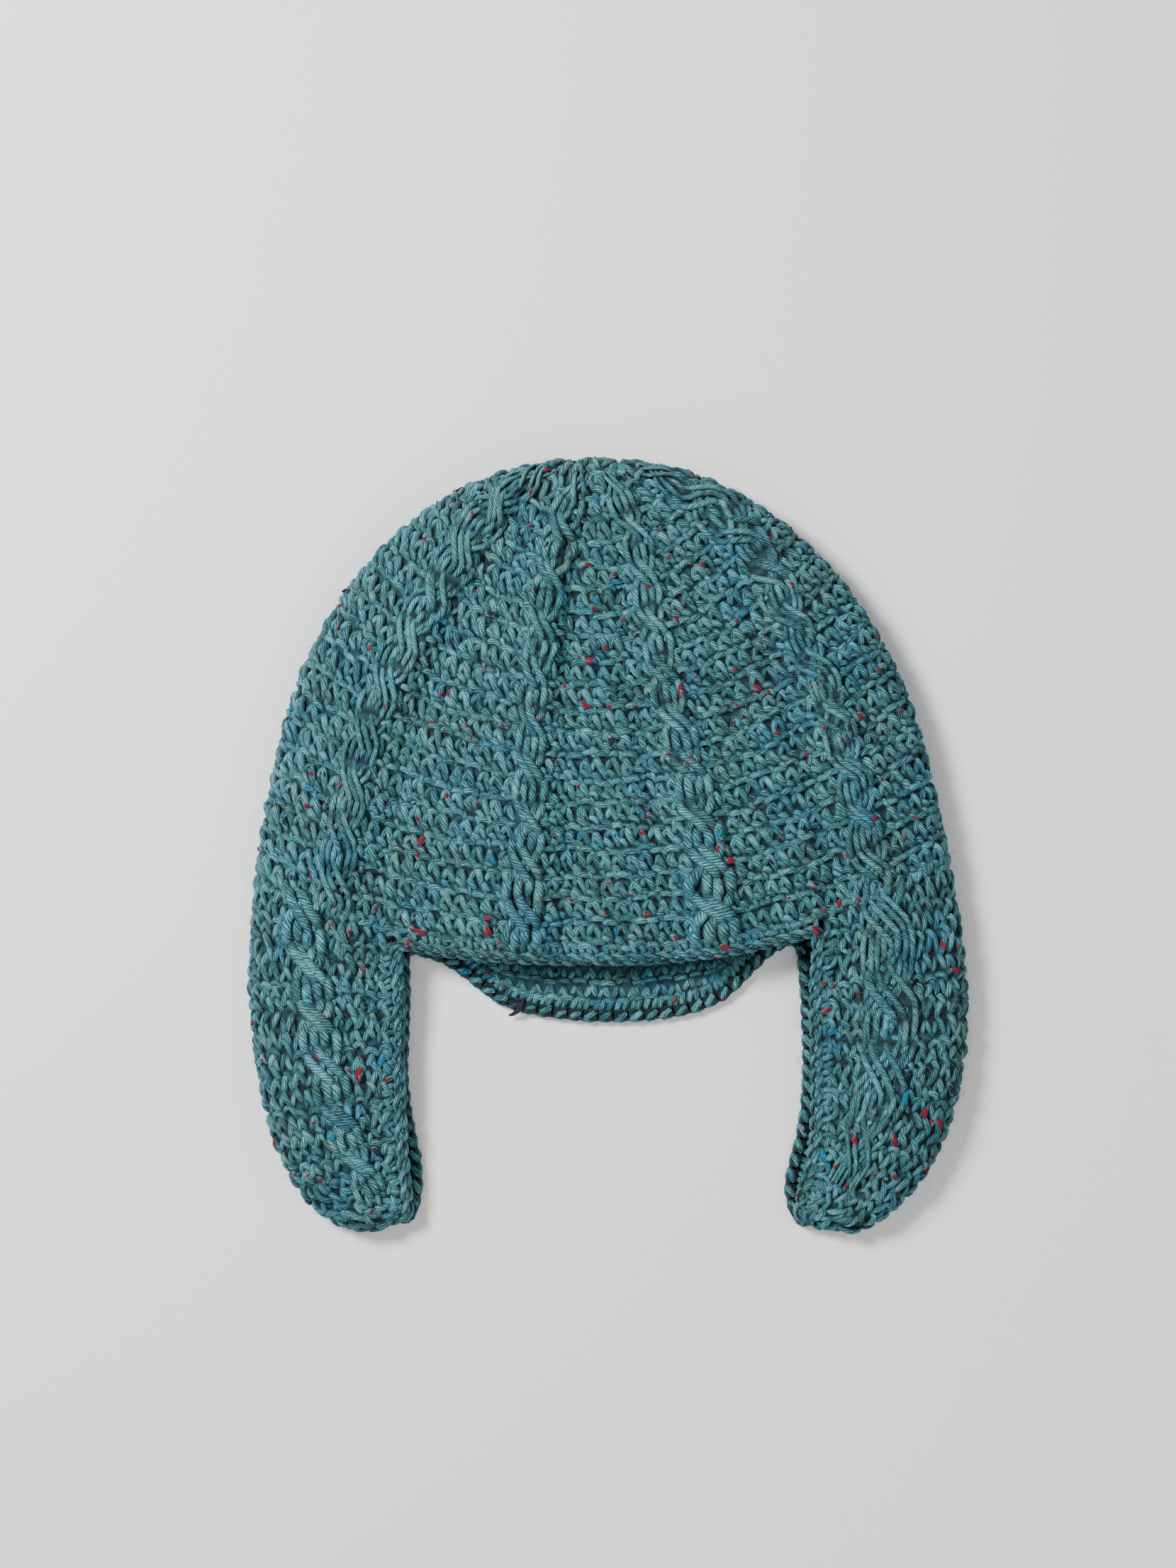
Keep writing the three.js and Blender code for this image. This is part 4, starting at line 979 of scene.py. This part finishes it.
def mix_colours(tree, factor, a, b, blend="MIX"):
    inputs = (("Factor", factor), (6, a), (7, b))
    return add_node(tree, "ShaderNodeMix", inputs, data_type="RGBA", blend_type=blend).outputs[2]


def noise(tree, vector, scale, detail=3.0, rough=0.7):
    inputs = (("Vector", vector), ("Scale", scale), ("Detail", detail), ("Roughness", rough))
    return add_node(tree, "ShaderNodeTexNoise", inputs).outputs["Fac"]


def ramp(tree, factor, stops):
    node = add_node(tree, "ShaderNodeValToRGB", (("Fac", factor),))
    elements = node.color_ramp.elements
    while len(elements) < len(stops):
        elements.new(0.5)
    for element, (position, colour) in zip(elements, stops):
        element.position = position
        element.color = colour
    return node.outputs["Color"]


def point_value(tree, word):
    return add_node(tree, "ShaderNodeAttribute", attribute_name=word).outputs["Fac"]


def object_place(tree):
    return add_node(tree, "ShaderNodeTexCoord").outputs["Object"]


def strand_place(tree):
    """Places round and along the yarn, or across and down the cloth in mm."""
    uv = add_node(tree, "ShaderNodeUVMap", uv_map="Strand").outputs[0]
    return add_node(tree, "ShaderNodeSeparateXYZ", ((0, uv),)).outputs


def finish_wool(tree, shader, colour, height, distance):
    """Gives the shader its colour, and its relief from a height."""
    tree.links.new(colour, shader.inputs["Base Color"])
    inputs = (("Strength", 1.0), ("Distance", distance), ("Height", height))
    tree.links.new(add_node(tree, "ShaderNodeBump", inputs).outputs[0], shader.inputs["Normal"])


def yarn_material(name, plies, ply_step):
    """Plied wool: twisted plies of fine fibres, with painted light on their backs and painted shade between
    them.
    """
    material, tree, shader = new_material(name, 0.85)
    around, along, _ = strand_place(tree)
    place = object_place(tree)
    turns = plus(tree, times(tree, around, float(plies)), maths(tree, "DIVIDE", along, ply_step))
    turns = plus(tree, turns, times(tree, noise(tree, place, PLY_WOBBLE_SCALE, 2.0, 0.55), PLY_WOBBLE))
    wave = maths(tree, "ABSOLUTE", maths(tree, "COSINE", times(tree, turns, math.pi)))
    shade = point_value(tree, "shade")
    fibre_place = enumerate((turns, times(tree, along, FIBRE_STRETCH), times(tree, shade, FIBRE_SHIFT)))
    fibre_place = add_node(tree, "ShaderNodeCombineXYZ", fibre_place).outputs[0]
    ply_and_fibre_relief = plus(tree, times(tree, wave, PLY_DEPTH), noise(tree, fibre_place, FIBRE_SCALE))
    relief_and_strand_tone = plus(tree, ply_and_fibre_relief, times(tree, maths(tree, "SUBTRACT", shade, 0.5), STRAND_TONE))
    # The ramp paints shade into the grooves between the plies and light onto their backs, over each strand's
    # and fibre's own random colour.
    colour = ramp(tree, relief_and_strand_tone, YARN_TONES_AND_PLY_SHADE)
    for scale, low, high, amount, tint in DRIFTS:
        patch = ramp(tree, noise(tree, place, scale, 3.0, 0.55), ((low, BLACK), (high, WHITE)))
        tinted = mix_colours(tree, 1.0, colour, tint, "MULTIPLY")
        colour = mix_colours(tree, times(tree, patch, amount), colour, tinted)
    # Painted shade: darker toward the ends of each strand and on its flanks and underside.
    for word, low, start, end in PAINTED_SHADE_PARTS:
        darkest = (*(low * share for share in PAINTED_SHADE_TINT), 1)
        depth = ramp(tree, point_value(tree, word), ((start, darkest), (end, WHITE)))
        colour = mix_colours(tree, 1.0, colour, depth, "MULTIPLY")
    finish_wool(tree, shader, colour, ply_and_fibre_relief, YARN_BUMP)
    shader.inputs["Specular IOR Level"].default_value = 0.3
    shader.inputs["Sheen Weight"].default_value = 0.15
    shader.inputs["Sheen Roughness"].default_value = 0.5
    shader.inputs["Sheen Tint"].default_value = TEAL_LIGHT
    return material


def plain_wool(name, colour, other):
    """Loose dyed fibre."""
    material, tree, shader = new_material(name, 0.95)
    fibre = noise(tree, object_place(tree), LOOSE_SCALE, 4.0)
    colours = ramp(tree, fibre, ((0.35, srgb(*colour)), (0.65, srgb(*other))))
    finish_wool(tree, shader, colours, fibre, LOOSE_BUMP)
    return material


def cloth_material(name, light, dark):
    """The cloth under the strands: wool coloured dark as painted shade in the gaps between the strands, with
    the rows of stitches as a low relief, painted darker in its hollows.
    """
    material, tree, shader = new_material(name, 0.95)
    sides = strand_place(tree)
    height = noise(tree, object_place(tree), CLOTH_SCALE, 4.0)
    waves = []
    for side, period, depth in zip(sides, (STITCH, CLOTH_ROW), CLOTH_RELIEF):
        waves.append(times(tree, maths(tree, "SINE", times(tree, side, 2 * math.pi / period)), depth))
    height = plus(tree, plus(tree, *waves), height)
    colour = ramp(tree, height, ((0.1, srgb(*dark)), (1.1, srgb(*light))))
    finish_wool(tree, shader, colour, height, CLOTH_BUMP)
    return material


yarn = yarn_material("plied_wool", *STITCH_TWIST)
cable_yarn = yarn_material("plied_wool_in_cables", *CABLE_TWIST)
# The cloth's dark colours are painted shade for the gaps between the strands.
cloth = cloth_material("wool_cloth_in_painted_shade", (26, 66, 78), (8, 30, 38))
hair_wool = plain_wool("fuzz", (120, 168, 172), (70, 112, 120))
FLECK_WOOL = {
    "red": plain_wool("red_fleck", (150, 14, 40), (88, 6, 28)),
    "navy": plain_wool("navy_fleck", (34, 30, 66), (14, 14, 34)),
    "blue": plain_wool("blue_fleck", (0, 124, 160), (0, 78, 114)),
}


# Flecks and fuzz

# Flecks that show most, by colour: place in the frame and length, in mm.
FLECKS = {
    "red": (
        (50, -5, 3), (-46, -33, 3.5), (-48, -30, 3), (-73, 0, 2.5), (29, 58, 3), (60, 59, 2.5),
        (-9, 72, 2.5), (-8, 54, 3.5), (-25, 48, 3), (-71, -36, 3), (44, -41, 3), (84, -33, 3),
        (-96, -90, 4.5), (-115, -82, 3), (-130, -115, 2.5), (138, -48, 3.5), (84, -67, 3),
        (125, -106, 3), (128, -111, 3), (111, -118, 3), (95, -115, 3), (47, -62, 3),
    ),
    "navy": (
        (71, 65, 3), (3, 39, 2.5), (-43, 91, 3), (-91, -119, 3), (137, -95, 3), (-35, -64, 3.5),
        (50, -62, 3),
    ),
    "blue": (
        (43, 4, 3.5), (-134, 15, 2.5), (-43, -8, 3), (-117, 23, 2.5), (-86, -83, 3.5), (-105, -100, 3),
        (-107, -113, 3), (119, -98, 4.5), (85, -120, 4.5), (87, -75, 3), (-57, -49, 3),
    ),
}
# Share of red, navy and blue among the loose flecks.
FLECK_SHARES = (0.4, 0.28, 0.32)


def host_rings():
    """Middle rings of all the yarn: place, way ahead, normal, width and thickness."""
    rings = []
    for paths, normals, widths, thicks in hosts:
        ahead = unit(np.gradient(paths, axis=1))
        inner = slice(2, paths.shape[1] - 2)
        flat = [part[:, inner].reshape(-1, 3) for part in (paths, ahead, normals)]
        flat += [part[:, inner].reshape(-1) for part in (widths, thicks)]
        rings.append(flat)
    return [np.concatenate(parts) for parts in zip(*rings)]


def add_streaks(strands, host, length, count):
    """A tuft of dyed wool in the yarn: a few streaks side by side on its back."""
    place, ahead, normal, width, thick = host
    for _ in range(count):
        aside = rng.uniform(-STREAK_ASIDE, STREAK_ASIDE, len(place))
        shift = rng.normal(0, STREAK_SHIFT, len(place)) * length
        rise = thick * (np.sqrt(0.25 - aside ** 2) - STREAK_SINK)
        side = np.cross(normal, ahead)
        middle = place + side * (aside * width)[:, None] + normal * rise[:, None] + ahead * shift[:, None]
        span = (length * rng.uniform(*STREAK_SPAN, len(place)))[:, None, None]
        t = np.linspace(-0.5, 0.5, strands.steps)[None, :, None]
        path = middle[:, None] + ahead[:, None] * t * span - normal[:, None] * t ** 2 * span * STREAK_BEND
        size = rng.uniform(*STREAK, len(place))[:, None]
        strands.add(path, normal[:, None], size, size * STREAK_PLUMP)


def build_flecks():
    """Each colour's tufts: those that show most, with more streaks, and those scattered about."""
    rings = host_rings()
    place = rings[0]
    chosen = {colour: [] for colour in FLECK_WOOL}
    for colour, tufts in FLECKS.items():
        for x, y, length in tufts:
            near = np.hypot(place[:, 0] - x, place[:, 1] - y) < FLECK_SEARCH
            chosen[colour].append((int(np.argmax(np.where(near, place[:, 2], -1))), length * SHOWN_STRETCH))
    names = rng.choice(list(FLECK_WOOL), LOOSE_FLECKS, p=FLECK_SHARES)
    for name, host in zip(names, rng.integers(0, len(place), LOOSE_FLECKS)):
        chosen[str(name)].append((int(host), rng.uniform(*FLECK_LENGTH)))
    for colour, picks in chosen.items():
        host = np.array([pick[0] for pick in picks])
        length = np.array([pick[1] for pick in picks])
        strands = Strands(STREAK_MESH)
        for first, streaks in ((len(picks), STREAKS), (len(FLECKS[colour]), SHOWN_STREAKS)):
            add_streaks(strands, [part[host[:first]] for part in rings], length[:first], streaks)
        strands.build(f"flecks_{colour}", FLECK_WOOL[colour], taper=0.2, host=False, ragged=0.12)


def build_loose_end():
    """A short navy end of yarn that pokes out under the edge of the neck flap."""
    strands = Strands(LOOSE_END_MESH)
    t = np.linspace(0, 1, strands.steps)[:, None]
    start, end, bend = (np.array(place, float) for place in LOOSE_END)
    path = start + (end - start) * t + bend * np.sin(math.pi * t)
    strands.add(path[None], np.array([0.0, 0.0, 1.0]), *LOOSE_END_SIZE)
    strands.build("navy_loose_end", FLECK_WOOL["navy"], taper=0.5, host=False, ragged=0.1)


def build_fuzz():
    """Fine loose fibres that stand off the yarn."""
    place, ahead, normal, _, thick = host_rings()
    host = rng.integers(0, len(place), HAIRS)
    place, ahead, normal = place[host], ahead[host], normal[host]
    side = np.cross(normal, ahead)
    heading = rng.uniform(0, 2 * math.pi, (HAIRS, 1))
    way = ahead * np.cos(heading) + side * np.sin(heading)
    turn = side * np.cos(heading) - ahead * np.sin(heading)
    strands = Strands(HAIR_MESH)
    t = np.linspace(0, 1, strands.steps)[None, :, None]
    length = rng.uniform(*HAIR_LENGTH, (HAIRS, 1, 1))
    rise = rng.uniform(*HAIR_RISE, (HAIRS, 1, 1))
    curl = rng.normal(0, HAIR_CURL, (HAIRS, 1, 1))
    start = place + normal * (thick[host] * HAIR_ROOT)[:, None]
    path = start[:, None] + way[:, None] * t * length + turn[:, None] * t ** 2 * curl
    path = path + normal[:, None] * (np.sin(math.pi * t * HAIR_ARCH) * rise)
    path = path + rng.normal(0, HAIR_PLAY, path.shape) * t
    strands.add(path, normal[:, None], HAIR_THICK, HAIR_THICK)
    strands.build("fuzz_fibres", hair_wool, taper=0.4, host=False)


# Stage: the floor, the lights and the camera, in metres.
FLOOR_HALF, FLOOR_DROP = 3.0, 0.0003
WORLD_LIGHT = 0.27
# Name, place, size and power of each area light.
LIGHTS = (
    ("key", (-0.8, 0.55, 1.05), 0.4, 34),
    ("fill", (0.9, -0.2, 1.2), 1.2, 6.5),
    ("front", (-0.1, -1.0, 1.1), 1.0, 6),
)


def build_floor():
    mesh = bpy.data.meshes.new("floor")
    corners = [(x * FLOOR_HALF, y * FLOOR_HALF, 0) for x, y in ((-1, -1), (1, -1), (1, 1), (-1, 1))]
    mesh.from_pydata(corners, [], [(0, 1, 2, 3)])
    floor = add_object("floor", mesh)
    floor.location.z = -FLOOR_DROP
    material, _, shader = new_material("pale_floor", 0.9)
    shader.inputs["Base Color"].default_value = (0.9, 0.9, 0.9, 1)
    mesh.materials.append(material)


def build_lights():
    world = bpy.data.worlds.new("studio")
    bpy.context.scene.world = world
    world.use_nodes = True
    background = world.node_tree.nodes["Background"]
    background.inputs["Color"].default_value = WHITE
    background.inputs["Strength"].default_value = WORLD_LIGHT
    for name, place, size, energy in LIGHTS:
        light = bpy.data.lights.new(name, "AREA")
        light.size = size
        light.energy = energy
        lamp = add_object(name, light)
        lamp.location = place
        x, y, z = place
        lamp.rotation_euler = (math.atan2(math.hypot(x, y), z), 0, math.atan2(y, x) + math.pi / 2)


def build_camera():
    """Looks straight down, as far off as the sizes in the image ask."""
    data = bpy.data.cameras.new("camera")
    camera = add_object("camera", data)
    x = (IMAGE[0] / 2 - ORIGIN_PIXEL[0]) * PIXEL
    y = (ORIGIN_PIXEL[1] - IMAGE[1] / 2) * PIXEL
    camera.location = (x * MM, y * MM, CAMERA_HEIGHT * MM)
    data.sensor_fit = "VERTICAL"
    data.sensor_height = SENSOR
    data.lens = SENSOR * CAMERA_HEIGHT / (IMAGE[1] * PIXEL)
    bpy.context.scene.camera = camera


# The cap, then the stage

def build_cloth():
    flap_rows = (-FLAP_CLOTH_LAP, 1)
    neck_columns = (HEM_FROM + NECK_CLOTH_IN, HEM_TO - NECK_CLOTH_IN)
    wall("crown_cloth", CROWN, (0, 4), (CLOTH_TOP, LAST_ROW), (161, 41), "crown", ring=True)
    wall("earflap_left_cloth", LEFT, (1, -1), flap_rows, (61, 36), "earflap_left")
    wall("earflap_right_cloth", RIGHT, (-1, 1), flap_rows, (61, 36), "earflap_right")
    wall("neck_cloth", NECK_OUT, neck_columns, (-NECK_CLOTH_LAP, 1), (90, 10), "neck_flap")


def build_stitches():
    front_cells, back_cells = crown_cells()
    crown_stitches("front", front_cells, FRONT_MESH, ROUND_STITCH)
    crown_stitches("back", back_cells, BACK_MESH, ROUND_STITCH[:4])
    flap_stitches(LEFT, "left", (1, -1))
    flap_stitches(RIGHT, "right", (-1, 1))
    neck_stitches(NECK_IN, "inside", (HEM_FROM, HEM_TO), NECK_ROWS)
    neck_stitches(NECK_OUT, "outside", (HEM_TO, HEM_FROM), NECK_ROWS[NECK_ROWS >= 0])


def build_cables():
    for k in range(4):
        crown_cable(k, True)
        crown_cable(k, False)
    for side, sheet, word in ((-1, LEFT, "left"), (1, RIGHT, "right")):
        for leaf in ("front", "back"):
            flap_cable(side, sheet, word, leaf)


build_cloth()
build_stitches()
build_cables()
build_edging()
build_flecks()
build_loose_end()
build_fuzz()
build_floor()
build_lights()
build_camera()
